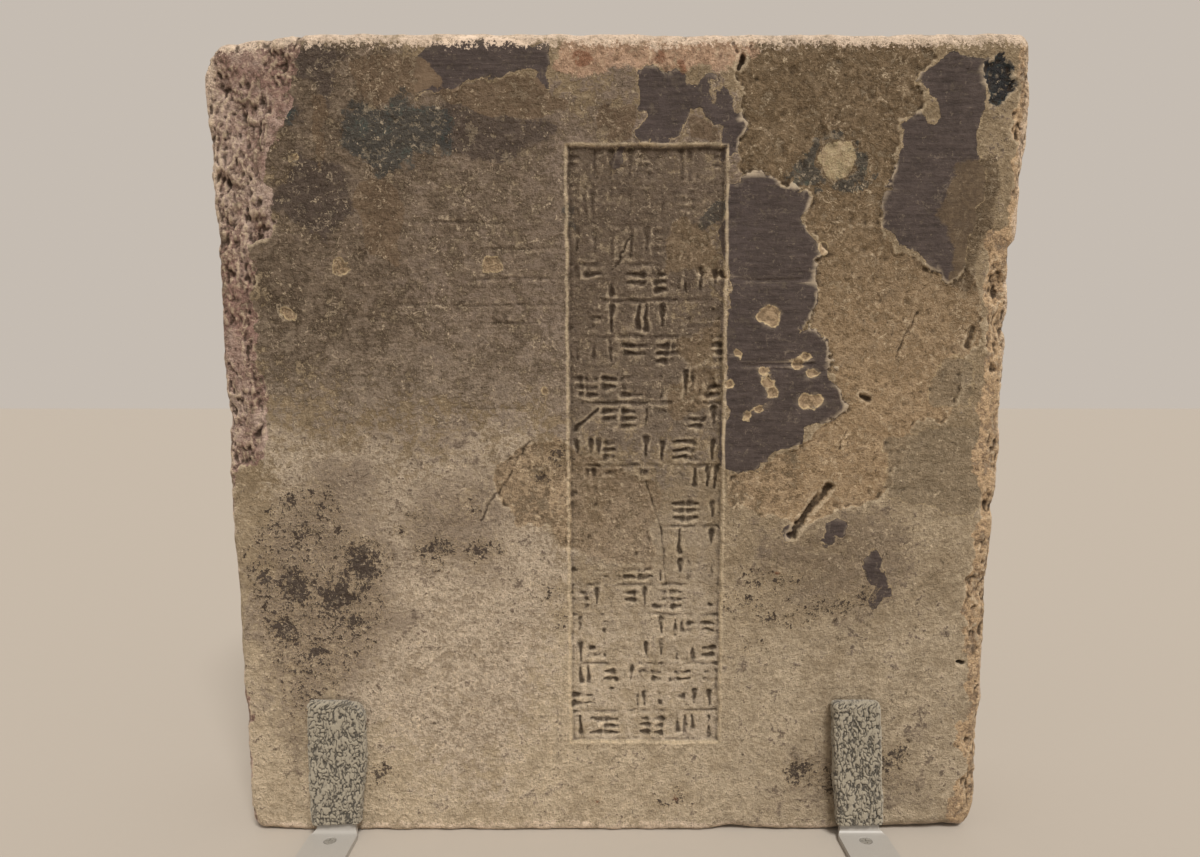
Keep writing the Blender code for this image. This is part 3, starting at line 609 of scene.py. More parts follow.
@dataclass
class Ground:
    """What covers each place of the stamped face, and how high it stands there."""

    outline: Outline
    panel: StampedPanel

    def ragged(self, x: Array, z: Array, amount: float, scale: float,
               seed: int) -> tuple[Array, Array]:
        """Move places about by noise, so that a given border turns ragged."""
        shift_x = fractal((x, z), scale, 5, seed, 0.66)
        shift_z = fractal((x, z), scale, 5, seed + 500, 0.66)
        return x + amount * shift_x, z + amount * shift_z

    def spall(self, x: Array, z: Array) -> Array:
        """Distance inside the broken slopes beside the left and right arrises."""
        ragged_x, ragged_z = self.ragged(x, z, 8.0, 15.0, 71)
        shape = self.outline
        left = shape.wear_left.width(ragged_z) - (ragged_x - shape.left(ragged_z, 1.0))
        right = shape.wear_right.width(ragged_z) - (shape.right(ragged_z, 1.0) - ragged_x)
        left = np.where(self.outline.wear_left.width(ragged_z) > 6.0, left, left - 2.0)
        return np.maximum(left, right - 1.5)

    def inset(self, x: Array, z: Array) -> Array:
        """Distance from the nearest side of the outline."""
        half, high = self.outline.width / 2, self.outline.height
        return np.minimum.reduce([x + half, half - x, z, high - z])

    def tones(self, x: Array, z: Array) -> dict[Tone, Array]:
        """Distance inside every kind of ground, in millimetres."""
        rough_x, rough_z = self.ragged(x, z, 7.0, 16.0, 5)
        loose_x, loose_z = self.ragged(x, z, 26.0, 40.0, 9)
        fine = fractal((x, z), 4.0, 4, 21, 0.7)
        crumb = fractal((x, z), 9.0, 5, 23, 0.68)
        flake_x, flake_z = self.ragged(x, z, 2.8, 5.0, 13)
        flake = near_points(flake_x, flake_z, FLAKES)
        skin = np.maximum(widest(rough_x, rough_z, SKIN_BORDERS),
                          inside(rough_x, rough_z, BAND_BORDER) - 0.5)
        skin = skin + 2.4 * crumb + 1.2 * fine
        stain = widest(rough_x, rough_z, STAIN_BORDERS) + 5.0 * crumb
        bare = inside(rough_x, rough_z, BARE_BORDER) + 1.6 * crumb + 0.8 * fine
        soot = np.maximum(near_points(rough_x, rough_z, SOOT_SPOTS),
                          np.minimum(inside(rough_x, rough_z, SOOT_BORDER), 1.5))
        teal = np.maximum(widest(rough_x, rough_z, TEAL_BORDERS),
                          near_points(flake_x, flake_z, TEAL_SPOTS))
        reach_x, reach_z = (x - LUMP_RIM[0]) / LUMP_RIM[2], (z - LUMP_RIM[1]) / LUMP_RIM[3]
        rim = (1.0 - np.hypot(reach_x, reach_z)) * LUMP_RIM[3] + 5.0 * fine + 3.0 * crumb
        lump = near_points(flake_x, flake_z, (LUMP,))
        return {
            Tone.SKIN: skin,
            Tone.BARE: bare,
            Tone.SPALL: self.spall(x, z),
            Tone.OLIVE: inside(loose_x, loose_z, OLIVE_BORDER),
            Tone.ROSY: inside(loose_x, loose_z, ROSY_BORDER),
            Tone.HAZE: widest(loose_x, loose_z, HAZE_BORDERS),
            Tone.STAIN: stain,
            Tone.TEAL: np.maximum(teal, np.minimum(rim, -lump - 0.5)) + 2.0 * fine,
            Tone.SOOT: soot,
            Tone.RED: inside(rough_x, rough_z, RED_BORDER) + 3.0 * crumb + 1.5 * fine,
            Tone.PALE: (np.maximum(widest(rough_x, rough_z, PALE_BORDERS), lump)
                        + 1.6 * crumb + fine),
            Tone.GREY: widest(flake_x, flake_z, GREY_BORDERS) + 2.4 * crumb + 0.6 * fine,
            Tone.FLAKE: flake,
            Tone.FILM: inside(rough_x, rough_z, FILM_BORDER) + 2.0 * crumb,
            Tone.PIT: inside(flake_x, flake_z, PIT_BORDER) + 1.5 * fine,
            Tone.RUST: near_points(flake_x, flake_z, RUST_SPOTS) + 1.5 * fine,
            Tone.PATCH: widest(rough_x, rough_z, PATCH_BORDERS) + 4.0 * crumb + 1.0 * fine,
            Tone.PANEL: self.panel.distance(x, z) + 0.35 * noise((x, z), 6.0, 411),
            Tone.CARVED: self.panel.cuts(x, z),
            Tone.EDGE: self.inset(x, z) + 3.0 * fractal((x, z), 12.0, 4, 61, 0.65),
        }

    def relief(self, x: Array, z: Array, tones: dict[Tone, Array]) -> Array:
        """Height over the flat face in millimetres, mostly below 0.

        Formula: a slow waver and fine grain, less the carved panel, the depth of the skin
        that has come off with pits in its ground, the broken slopes' lumps and hollows,
        the straw marks and the small flakes, plus the lump.
        """
        skin = ease(tones[Tone.SKIN], -0.2, 0.5)
        bare = ease(tones[Tone.BARE], 0.0, 0.8) * (1.0 - skin)
        spall = ease(tones[Tone.SPALL], -0.1, 0.8)
        calm = (1.0 - skin) * (1.0 - bare)
        patch = ease(tones[Tone.PATCH], 0.0, 1.2)
        height = 0.16 * fractal((x, z), 60.0, 3, 101) - 0.14
        height += skin * 0.06 * fractal((x / 9.0, z), 2.6, 3, 103)
        height += (0.07 + 0.09 * bare) * self.plates(x, z, 8.0, 102)
        height += calm * 0.19 * self.plates(x, z, 4.6, 104)
        height -= 0.3 * pits((x, z), 9.0, 105, 0.3) ** 0.6 * (1.0 - skin)
        ground = (0.62 + 0.42 * fractal((x, z), 12.0, 5, 106, 0.66)
                  + 0.16 * self.plates(x, z, 5.0, 116))
        ground += 0.7 * pits((x, z), 6.5, 107, 0.22) ** 0.6 + 0.4 * pits((x, z), 2.6, 108, 0.25)
        ground += 0.3 * np.abs(fractal((x + 0.6 * z, z), 7.0, 4, 118, 0.62))
        height -= np.maximum(bare * ground, patch * (ground - 0.3))
        border = tones[Tone.SKIN]
        height += 0.06 * ease(border, -0.3, 0.3) * (1.0 - ease(border, 0.3, 1.4))
        broken = self.broken(x, z)
        height -= spall * broken * (0.35 + 0.65 * ease(tones[Tone.SPALL], 0.0, 5.0))
        height -= 0.45 * ease(tones[Tone.FLAKE], -0.15, 0.5)
        height -= 0.3 * ease(tones[Tone.RED], 0.0, 2.0) * broken
        height -= 0.03 * np.clip(tones[Tone.SOOT], 0.0, 10.0) * (1.0 + self.plates(x, z, 4.0, 120))
        height -= 1.5 * ease(tones[Tone.PIT], 0.0, 2.5) * (1.0 + 0.5 * fractal((x, z), 4.0, 3, 119))
        lump = ease(near_points(x, z, (LUMP,)), 0.0, 4.0)
        height += lump * (0.35 + 0.5 * fractal((x, z), 5.0, 3, 114))
        for start_x, start_z, end_x, end_z, width, depth in STRAW_MARKS:
            box = ((x > min(start_x, end_x) - 6) & (x < max(start_x, end_x) + 6)
                   & (z > min(start_z, end_z) - 6) & (z < max(start_z, end_z) + 6))
            wobble = 1.4 * fractal((x[box], z[box]), 4.0, 4, 115, 0.6)
            height[box] -= groove(x[box] + wobble, z[box] - wobble, (start_x, start_z), (end_x, end_z),
                                  (width, width), (depth, 0.8 * depth), 1.0)
        for from_x, to_x, level in SCRATCH_LINES:
            along = ease(x, from_x, from_x + 10.0) * (1.0 - ease(x, to_x - 4.0, to_x))
            sag = 0.6 * fractal((x,), 20.0, 2, int(level))
            height -= 0.45 * along * ease(1.0 - np.abs(z - level - sag) / 0.9, 0.0, 1.0)
        height -= self.panel.sunk(x, z) + tones[Tone.CARVED]
        return np.minimum(height, 0.22)

    @staticmethod
    def plates(x: Array, z: Array, size: float, seed: int) -> Array:
        """Thin flakes with crisp edges, from about -1 to 1.

        Formula: fractal noise pushed through a steep step at two levels.
        """
        field_ = fractal((x, z), size, 4, seed, 0.62)
        return 0.7 * (ease(field_, -0.04, 0.06) + ease(field_, 0.22, 0.32)) - 0.7 + 0.6 * field_

    @staticmethod
    def broken(x: Array, z: Array) -> Array:
        """Depth of the broken clay under its slope, in millimetres.

        Formula: ridged noise in three sizes with slanting beds cut into it as steps,
        and a few holes.
        """
        slow = fractal((x, z * 0.6), 22.0, 6, 109, 0.62)
        ridges = np.abs(fractal((x, z * 0.7), 13.0, 6, 110, 0.62))
        small = np.abs(fractal((x, z), 4.0, 4, 117, 0.66))
        beds = 4.5 * slow + 0.09 * (x - 0.4 * z)
        steps = np.floor(beds) + ease(beds - np.floor(beds), 0.6, 0.9)
        depth = 0.7 + 1.2 * (steps - beds) + 2.8 * slow + 4.4 * ridges - 0.9 + 0.9 * small
        depth = depth + 1.6 * pits((x, z * 0.85), 11.0, 111, 0.3) ** 0.6
        return np.maximum(depth, 0.05)


@dataclass
class Survey:
    """The stamped face worked out once on an even raster, to be read at any place."""

    ground: Ground
    spacing: float = 0.45
    margin: float = 5.0
    reaches: tuple[tuple[Tone, float], ...] = ((Tone.CAVITY, 0.9), (Tone.HOLLOW, 2.6))
    layers: dict[Tone, Array] = field(default_factory=dict)

    def __post_init__(self) -> None:
        """Work out every tone, the height and the hollows."""
        shape = self.ground.outline
        self.left, self.low = -shape.width / 2 - self.margin, -self.margin
        x, z = np.meshgrid(np.arange(self.left, shape.width / 2 + self.margin, self.spacing),
                           np.arange(self.low, shape.height + self.margin, self.spacing))
        self.layers = self.ground.tones(x, z)
        height = self.ground.relief(x, z, self.layers)
        self.layers[Tone.HEIGHT] = height
        for tone, reach in self.reaches:
            self.layers[tone] = self.blurred(height, reach / self.spacing) - height

    @staticmethod
    def blurred(values: Array, reach: float) -> Array:
        """Mean of the places around, weighted by a bell curve of a reach in raster steps.

        Formula: the product of the two spectra, which is the same as summing with weights.
        """
        rows, columns = values.shape
        up = np.fft.fftfreq(2 * rows)[:, None]
        across = np.fft.rfftfreq(2 * columns)[None, :]
        mirrored = np.block([[values, values[:, ::-1]], [values[::-1], values[::-1, ::-1]]])
        weight = np.exp(-2.0 * (math.pi * reach) ** 2 * (up**2 + across**2))
        return np.fft.irfft2(np.fft.rfft2(mirrored) * weight, mirrored.shape)[:rows, :columns]

    def read(self, tone: Tone, x: Array, z: Array) -> Array:
        """A layer's value at places, straight between the raster's four nearest points."""
        layer = self.layers[tone]
        across = np.clip((x - self.left) / self.spacing, 0.0, layer.shape[1] - 1.001)
        up = np.clip((z - self.low) / self.spacing, 0.0, layer.shape[0] - 1.001)
        column, row = across.astype(int), up.astype(int)
        right, over = across - column, up - row
        lower = layer[row, column] * (1.0 - right) + layer[row, column + 1] * right
        upper = layer[row + 1, column] * (1.0 - right) + layer[row + 1, column + 1] * right
        return lower * (1.0 - over) + upper * over


@dataclass
class Brick:
    """The fired-clay brick: stamped face, worn arrises, sides and plain back."""

    outline: Outline = field(default_factory=Outline)
    panel: StampedPanel = field(default_factory=StampedPanel)
    cells_across: int = 648
    cells_up: int = 664
    rim_cells: int = 12
    rim_reach: float = 4.0
    coarse: int = 4
    side_rows: int = 40
    triangles: int = 188_000
    edge_round: float = 2.2
    thinning_rows: tuple[int, ...] = (2, 5)
    arris_turns: tuple[float, ...] = (0.3, 0.65)

    def __post_init__(self) -> None:
        self.ground = Ground(self.outline, self.panel)
        self.survey = Survey(self.ground, 0.45)

    def lines(self, length: float, cells: int) -> Array:
        """Grid lines along a side: close together at its ends, even between them."""
        rim = self.rim_reach * (np.arange(self.rim_cells) / self.rim_cells) ** 1.5
        inner = np.linspace(self.rim_reach, length - self.rim_reach, cells - 2 * self.rim_cells + 1)
        return np.concatenate([rim, inner, length - rim[::-1]])

    def grid(self, every: int) -> tuple[Array, Array]:
        """Plain x and z of the grid's points, taking every n-th line."""
        across = self.lines(self.outline.width, self.cells_across)[::every] - self.outline.width / 2
        up = self.lines(self.outline.height, self.cells_up)[::every]
        return np.meshgrid(across, up)

    def worn(self, x: Array, z: Array) -> Array:
        """Depth that the face falls back near its arrises, in millimetres.

        Formula: a broken slope runs straight from nothing at the spall's border to its
        depth at the side; a quarter ellipse rounds the arris itself.
        """
        shape = self.outline
        half = shape.width / 2
        gaps = (x + half, half - x, z, shape.height - z)
        tables = ((shape.wear_left, z), (shape.wear_right, z),
                  (shape.wear_bottom, x), (shape.wear_top, x))
        inset = np.minimum.reduce(gaps) + 0.35 * fractal((x, z), 9.0, 3, 61)
        drop, pulls, widths, depths = 0.0, 1e-9, 0.0, 0.0
        for side, (gap, (table, place)) in enumerate(zip(gaps, tables)):
            width, depth = table.width(place), table.depth(place)
            broken = ease(width, 6.0, 12.0) if side < 2 else 0.0
            drop = drop + broken * (depth - self.edge_round) * np.clip(1.0 - gap / width, 0.0, 1.0)
            pull = np.maximum(1e-6, 1.0 - gap / 12.0)
            pulls = pulls + pull
            widths = widths + pull * (width + broken * (self.edge_round - width))
            depths = depths + pull * (depth + broken * (self.edge_round - depth))
        edge = np.clip(1.0 - inset / (widths / pulls), 0.0, 1.0)
        return drop + depths / pulls * (1.0 - np.sqrt(1.0 - edge**2))

    def face(self) -> tuple[Array, Array, Array]:
        """Points of the stamped face, in rows from the bottom."""
        x, z = self.grid(1)
        drop = self.worn(x, z)
        x, z = self.outline.placed(*self.outline.rounded(x, z), 1.0)
        return x, self.outline.front + drop - self.survey.read(Tone.HEIGHT, x, z), z

    def side_point(self, x: Array, z: Array, front: Array,
                   share: float) -> tuple[Array, Array, Array]:
        """A ring across the sides, moved in by the clay's unevenness.

        Formula: straight from the face's edge to the back arris; moved inwards by
        layers of noise and pits that fade out at the face, and not on the underside.
        """
        shape = self.outline
        far = shape.back - shape.back_wear
        amount = 1.0 + share * (shape.back_share - 1.0)
        y = front + share * (far - front)
        px, pz = shape.placed(x, z, amount)
        run_x, run_z = np.roll(px, -1) - np.roll(px, 1), np.roll(pz, -1) - np.roll(pz, 1)
        length = np.hypot(run_x, run_z) + 1e-9
        in_x, in_z = -run_z / length, run_x / length
        places, around = (px, y, pz), (np.cumsum(length / 2), y)
        loss = 0.35 + 0.35 * fractal(places, 30.0, 4, 201, 0.55) + 0.12 * fractal(places, 5.0, 3, 202)
        loss += 0.5 * pits(around, 7.0, 203, 0.3) ** 0.7 + 0.25 * pits(around, 3.2, 204, 0.3)
        fade = min(1.0, share * 8.0) * min(1.0, (1.0 - share) * 12.0 + 0.3)
        loss = loss * fade * (1.0 - ease(in_z, 0.5, 0.9))
        return px + in_x * loss, y, pz + in_z * loss

    def back_point(self, x: Array, z: Array, turn: float) -> tuple[Array, Array, Array]:
        """Points on the rounded back arris, or on the back itself at a full turn."""
        shape = self.outline
        px, pz = shape.placed(x, z, shape.back_share)
        inset = shape.back_wear * (1.0 - math.cos(turn * math.pi / 2))
        px = px - inset * 2.0 * x / shape.width
        pz = pz + inset * (1.0 - 2.0 * z / shape.height)
        y = np.full(px.shape, shape.back - shape.back_wear * (1.0 - math.sin(turn * math.pi / 2)))
        return px, y, pz

    def add_sides(self, shell: "Shell", ring: Array, front: Array) -> Array:
        """Add the sides and the rounded back arris.

        Formula: rings of points from the face's edge to the back, closest near the face;
        at a thinning row every second column ends.

        Args:
            shell: the mesh that is put together.
            ring: numbers of the points round the face's edge.
            front: how far forward each of them stands.

        Returns:
            Numbers of the last ring's points.
        """
        x, z = (part.ravel()[ring] for part in self.outline.rounded(*self.grid(1)))
        shares = np.linspace(0.0, 1.0, self.side_rows + 1)[1:] ** 1.25
        for row, share in enumerate(shares):
            if row in self.thinning_rows:
                x, z, front = x[::2], z[::2], front[::2]
            ring = shell.band(ring, shell.add(*self.side_point(x, z, front, share)))
        for turn in self.arris_turns:
            ring = shell.band(ring, shell.add(*self.back_point(x, z, turn)))
        return ring

    def add_back(self, shell: "Shell", ring: Array) -> None:
        """Close the back with a coarse grid, slightly uneven and pitted."""
        x, y, z = self.back_point(*self.outline.rounded(*self.grid(self.coarse)), 1.0)
        uneven = 0.5 + 0.45 * fractal((x, z), 45.0, 5, 301, 0.55)
        uneven += 0.5 * pits((x, z), 9.0, 302, 0.3) ** 0.7
        y = y - uneven * ease(self.ground.inset(x, z), 2.0, 12.0)
        index = shell.add(x, y, z)
        shell.quads.append(grid_faces(index)[:, FLIPPED])
        shell.band(ring, rim(index))

    def build(self) -> bpy.types.Object:
        """Make the closed mesh, thin it to its budget and lay the tones on it."""
        shell = Shell()
        x, y, z = self.face()
        index = shell.add(x, y, z)
        shell.quads.append(grid_faces(index))
        ring = rim(index)
        self.add_back(shell, self.add_sides(shell, ring, y.ravel()[ring]))
        made = shell.made("brick_body")
        thinned(made, self.triangles)
        self.kept_in_box(made)
        self.lay_tones(made)
        return made

    @staticmethod
    def kept_in_box(made: bpy.types.Object) -> None:
        """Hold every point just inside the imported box."""
        flat = np.empty(len(made.data.vertices) * 3)
        made.data.vertices.foreach_get("co", flat)
        low, high = (np.array(corner) for corner in CAD_BOX)
        held = np.clip(flat.reshape(-1, 3), low, high - 0.01 * MM)
        made.data.vertices.foreach_set("co", held.ravel())
        made.data.update()

    def lay_tones(self, made: bpy.types.Object) -> None:
        """Keep each tone's distance at every point of the mesh as a named attribute."""
        mesh = made.data
        flat = np.empty(len(mesh.vertices) * 3)
        mesh.vertices.foreach_get("co", flat)
        x, y, z = (flat.reshape(-1, 3) / MM).T
        facing = ease(-y, 10.0, 22.0)
        for tone in self.survey.layers:
            if tone is Tone.HEIGHT:
                continue
            value = self.survey.read(tone, x, z)
            if tone in (Tone.CAVITY, Tone.HOLLOW, Tone.CARVED):
                value = facing * value
            elif tone is not Tone.EDGE:
                value = facing * np.clip(value, -20.0, 20.0) + (1.0 - facing) * -20.0
            keep_attribute(mesh, tone.value, value)


def grid_faces(index: Array) -> Array:
    """Corners of each cell in a grid of point numbers, anticlockwise."""
    return np.stack([index[:-1, :-1], index[:-1, 1:], index[1:, 1:], index[1:, :-1]],
                    axis=-1).reshape(-1, 4)


def rim(index: Array) -> Array:
    """Point numbers round a grid's edge, anticlockwise from its lower left corner."""
    return np.concatenate([index[0, :-1], index[:-1, -1], index[-1, :0:-1], index[:0:-1, 0]])


class Shell:
    """A closed mesh while it is put together from grids and rings of points."""

    def __init__(self) -> None:
        """Start with no points and no faces."""
        self.points: list[Array] = []
        self.quads: list[Array] = []
        self.triangles: list[Array] = []
        self.count = 0

    def add(self, x: Array, y: Array, z: Array) -> Array:
        """Add points and give their numbers, in the shape of x."""
        self.points.append(np.stack([x.ravel(), y.ravel(), z.ravel()], axis=1))
        numbers = self.count + np.arange(x.size).reshape(x.shape)
        self.count += x.size
        return numbers

    def band(self, ring: Array, following: Array) -> Array:
        """Add the faces between a ring and the next one, which may have half its points.

        Returns:
            The next ring.
        """
        after = np.roll(following, -1)
        if following.size == ring.size:
            self.quads.append(np.stack([ring, following, after, np.roll(ring, -1)], axis=1))
        else:
            first, middle, last = ring[0::2], ring[1::2], np.roll(ring, -2)[0::2]
            self.triangles += [np.stack(corner, axis=1) for corner in (
                (first, following, middle), (middle, following, after), (middle, after, last))]
        return following

    def made(self, name: str) -> bpy.types.Object:
        """The finished object."""
        return solid_mesh(name, np.concatenate(self.points), np.concatenate(self.quads),
                          np.concatenate(self.triangles))


def solid_mesh(name: str, points: Array, quads: Array, triangles: Array) -> bpy.types.Object:
    """Make a smooth-shaded object from points in millimetres and its faces."""
    mesh = bpy.data.meshes.new(name)
    mesh.vertices.add(len(points))
    mesh.vertices.foreach_set("co", (points * MM).ravel())
    corners = np.concatenate([quads.ravel(), triangles.ravel()]).astype(np.int32)
    totals = np.concatenate([np.full(len(quads), 4), np.full(len(triangles), 3)]).astype(np.int32)
    mesh.loops.add(len(corners))
    mesh.loops.foreach_set("vertex_index", corners)
    mesh.polygons.add(len(totals))
    starts = np.concatenate([[0], np.cumsum(totals)[:-1]]).astype(np.int32)
    mesh.polygons.foreach_set("loop_start", starts)
    mesh.update(calc_edges=True)
    mesh.validate()
    mesh.shade_smooth()
    made = bpy.data.objects.new(name, mesh)
    bpy.context.scene.collection.objects.link(made)
    return made


def thinned(made: bpy.types.Object, triangles: int) -> None:
    """Thin a mesh to a number of triangles, keeping them where the shape bends most."""
    current = sum(len(face.vertices) - 2 for face in made.data.polygons)
    if current <= triangles:
        return
    modifier = made.modifiers.new("thin", "DECIMATE")
    modifier.ratio = triangles / current
    modifier.use_collapse_triangulate = True
    bpy.context.view_layer.update()
    graph = bpy.context.evaluated_depsgraph_get()
    mesh = bpy.data.meshes.new_from_object(made.evaluated_get(graph))
    made.modifiers.clear()
    old = made.data
    made.data = mesh
    bpy.data.meshes.remove(old)
    mesh.name = made.name
    mesh.shade_smooth()


def keep_attribute(mesh: bpy.types.Mesh, name: str, values: Array) -> None:
    """Keep one number for each point of a mesh under a name."""
    attribute = mesh.attributes.new(name, "FLOAT", "POINT")
    attribute.data.foreach_set("value", values.astype(np.float32))


# ---------------------------------------------------------------- the sleeves


@dataclass
class Sleeve:
    """A felt sleeve over a bracket's leg: closed top, open pocket, nubby outside."""

    side: str
    middle: float
    leg_shift: float
    lean: float
    swell: float
    seed: int
    slump: float = 0.0
    leg_width: float = 17.0
    leg_top: float = 60.5
    strap: float = 2.5
    bend: float = 2.0
    wall: float = 1.6
    low: float = 6.5
    crown: float = 2.2
    clearance: float = 0.3
    front: float = -37.5
    around: int = 224
    up: int = 236
    nub: float = 0.8
    corner: float = 1.7

    @property
    def leg_middle(self) -> float:
        """How far forward the middle of the strap stands."""
        return self.front - 2 * self.clearance - self.wall - self.strap / 2

    def centre(self, z: Array) -> Array:
        """Middle of the leaning leg at a height."""
        foot = self.strap + self.bend
        return self.middle + self.leg_shift + (z - foot) / (self.leg_top - foot) * self.lean

    def half_width(self, share: Array) -> Array:
        """Half width: snug at the bottom, slack near the top."""
        slack = self.swell / 2 * np.sin(math.pi * np.minimum(1.0, 0.15 + share) * 0.62)
        return self.leg_width / 2 + self.clearance + self.wall - 0.3 + slack

    def walk(self) -> tuple[Array, Array, Array, Array]:
        """Steps of even length round a rounded rectangle, from the left end along the front.

        Formula: the left half side, a corner, the front, a corner and the right half side
        are laid end to end; the back half is the same walk mirrored and reversed.

        Returns:
            Shares of the straight width and depth, and the corner's direction in x and y.
        """
        wide = self.leg_width / 2 + self.clearance + self.wall - self.corner
        deep = self.strap / 2 + self.clearance + self.wall - self.corner
        bend = self.corner * math.pi / 2
        knots = np.cumsum([0.0, deep, bend, 2 * wide, bend, deep])
        place = np.linspace(0.0, knots[-1], self.around // 2 + 1)
        share_x = np.interp(place, knots, [-1, -1, -1, 1, 1, 1])
        share_y = np.interp(place, knots, [0, -1, -1, -1, -1, 0])
        angle = math.pi * np.interp(place, knots, [1, 1, 1.5, 1.5, 2, 2])
        front = (share_x, share_y, np.cos(angle), np.sin(angle))
        return tuple(np.concatenate([part, sign * part[-2:0:-1]])
                     for part, sign in zip(front, (1, -1, 1, -1)))

    def rings(self, z: Array, half: Array, depth: Array) -> Array:
        """Rounded rectangles round the leg, one for each height."""
        share_x, share_y, along_x, along_y = self.walk()
        corner = np.minimum(self.corner, 0.9 * depth)[:, None]
        x = self.centre(z)[:, None] + (half[:, None] - corner) * share_x + corner * along_x
        y = self.leg_middle + (depth[:, None] - corner) * share_y + corner * along_y
        return np.stack([x, y, np.broadcast_to(z[:, None], x.shape)], axis=-1)

    def build(self) -> bpy.types.Object:
        """Make the closed sleeve with its pocket and felt nubs."""
        top = self.leg_top + self.clearance + self.crown
        share = np.linspace(0.0, 1.0, self.up)
        z = self.low + share * (top - self.low)
        outer_half = self.half_width(share)
        depth = np.full(z.shape, self.strap / 2 + self.clearance + self.wall)
        over = np.clip((z - (top - 2.6)) / 2.6, 0.0, 1.0)
        draw = 1.0 - np.sqrt(np.maximum(0.0, 1.0 - over**2))
        depth = depth - 2.3 * draw
        outer_half = outer_half - 2.0 * draw
        lip = np.clip(1.0 - (z - self.low) / 1.0, 0.0, 1.0)
        depth = depth - 0.5 * lip**2
        outer_half = outer_half - 0.5 * lip**2
        outer = self.slumped(self.rings(z, outer_half, depth), share)
        outer, nubs = self.felted(outer)
        inner_z = np.linspace(self.leg_top + self.clearance * 0.8, self.low + 0.2, 8)
        inner = self.rings(inner_z, np.full(8, self.leg_width / 2 + 0.2),
                           np.full(8, self.strap / 2 + 0.2))
        rows = np.concatenate([inner, outer])
        count, around = rows.shape[0], self.around
        index = np.arange(count * around).reshape(count, around)
        after = np.roll(index, -1, axis=1)
        quads = np.stack([index[:-1], after[:-1], after[1:], index[1:]], axis=-1).reshape(-1, 4)
        first, last = index[0], index[-1]
        half = around // 2
        step = np.arange(1, half - 1)
        top_cap = np.stack([last[step], last[step + 1], last[around - step - 1],
                            last[around - step]], axis=1)
        low_cap = np.stack([first[step], first[around - step], first[around - step - 1],
                            first[step + 1]], axis=1)
        ends = np.array([(last[0], last[1], last[-1]), (last[half - 1], last[half], last[half + 1]),
                         (first[0], first[-1], first[1]),
                         (first[half - 1], first[half + 1], first[half])])
        made = solid_mesh(f"felt_sleeve_{self.side}", rows.reshape(-1, 3),
                          np.concatenate([quads, top_cap, low_cap]), ends)
        keep_attribute(made.data, "nub", np.concatenate([np.zeros(inner.shape[:2]), nubs]).ravel())
        return made

    def slumped(self, rows: Array, share: Array) -> Array:
        """Let the slack side of a sleeve bulge and its upper corner sink.

        Formula: the bulge is a bell over the height on the right half; the corner sinks
        with the fifth power of the height, most beyond the strap's edge.
        """
        middle = rows[..., 0].mean(axis=1, keepdims=True)
        side = (rows[..., 0] - middle) / (np.ptp(rows[..., 0], axis=1, keepdims=True) / 2)
        bell = np.exp(-((share - 0.52) / 0.2) ** 2)[:, None]
        rows[..., 0] += self.slump * 0.9 * bell * ease(side, 0.2, 1.0)
        drop = 1.2 * ease(side, 0.3, 0.7) + 3.6 * ease(side, 0.7, 1.0)
        rows[..., 2] -= self.slump * drop * (share**5)[:, None]
        return rows

    def felted(self, rows: Array) -> tuple[Array, Array]:
        """Raise felt nubs and soft lumps on a grid of points, along its own normals.

        Formula: the normal is the cross product of the steps along and across the grid;
        the height falls into narrow winding furrows, where layered noise crosses zero, and
        rises between them, on slower lumps.
        """
        along = np.roll(rows, -1, axis=1) - np.roll(rows, 1, axis=1)
        up = np.gradient(rows, axis=0)
        normal = np.cross(along, up)
        normal /= np.linalg.norm(normal, axis=2, keepdims=True) + 1e-9
        places = (rows[..., 0] + 300.0, rows[..., 1], rows[..., 2])
        steps = np.linalg.norm(along, axis=2) / 2
        around = np.cumsum(steps, axis=1)
        lay = (around + 0.7 * fractal(places, 2.2, 3, self.seed + 9, 0.7),
               rows[..., 2] * 0.5 + 0.5 * fractal(places, 2.2, 3, self.seed + 11, 0.7))
        furrows = np.abs(fractal(lay, 0.9, 2, self.seed, 0.4))
        nubs = np.minimum(1.0, 2.6 * furrows) ** 0.7
        lumps = fractal(places, 9.0, 3, self.seed + 7)
        height = self.nub * (nubs - 0.9) + lumps
        behind = ease(normal[..., 1], 0.0, 0.5)
        height = height * (1.0 - behind) - 0.1 * behind
        return rows + normal * height[..., None], nubs


# ---------------------------------------------------------------- shader maths


LINE_CORE, LINE_EDGE = 0.03, 0.09


class Socket:
    """A node's output in a sum: each operator adds the Math node that it stands for."""

    def __init__(self, bench: "Bench", link: bpy.types.NodeSocket) -> None:
        """Keep the output and the node tree that it is in."""
        self.bench = bench
        self.link = link

    def __add__(self, other: Any) -> "Socket":
        """Sum."""
        return self.bench.maths("ADD", self, other)

    def __radd__(self, other: Any) -> "Socket":
        """Sum with a number on the left."""
        return self.bench.maths("ADD", other, self)

    def __sub__(self, other: Any) -> "Socket":
        """Difference."""
        return self.bench.maths("SUBTRACT", self, other)

    def __rsub__(self, other: Any) -> "Socket":
        """Difference from a number."""
        return self.bench.maths("SUBTRACT", other, self)

    def __mul__(self, other: Any) -> "Socket":
        """Product."""
        return self.bench.maths("MULTIPLY", self, other)

    def __rmul__(self, other: Any) -> "Socket":
        """Product with a number on the left."""
        return self.bench.maths("MULTIPLY", other, self)


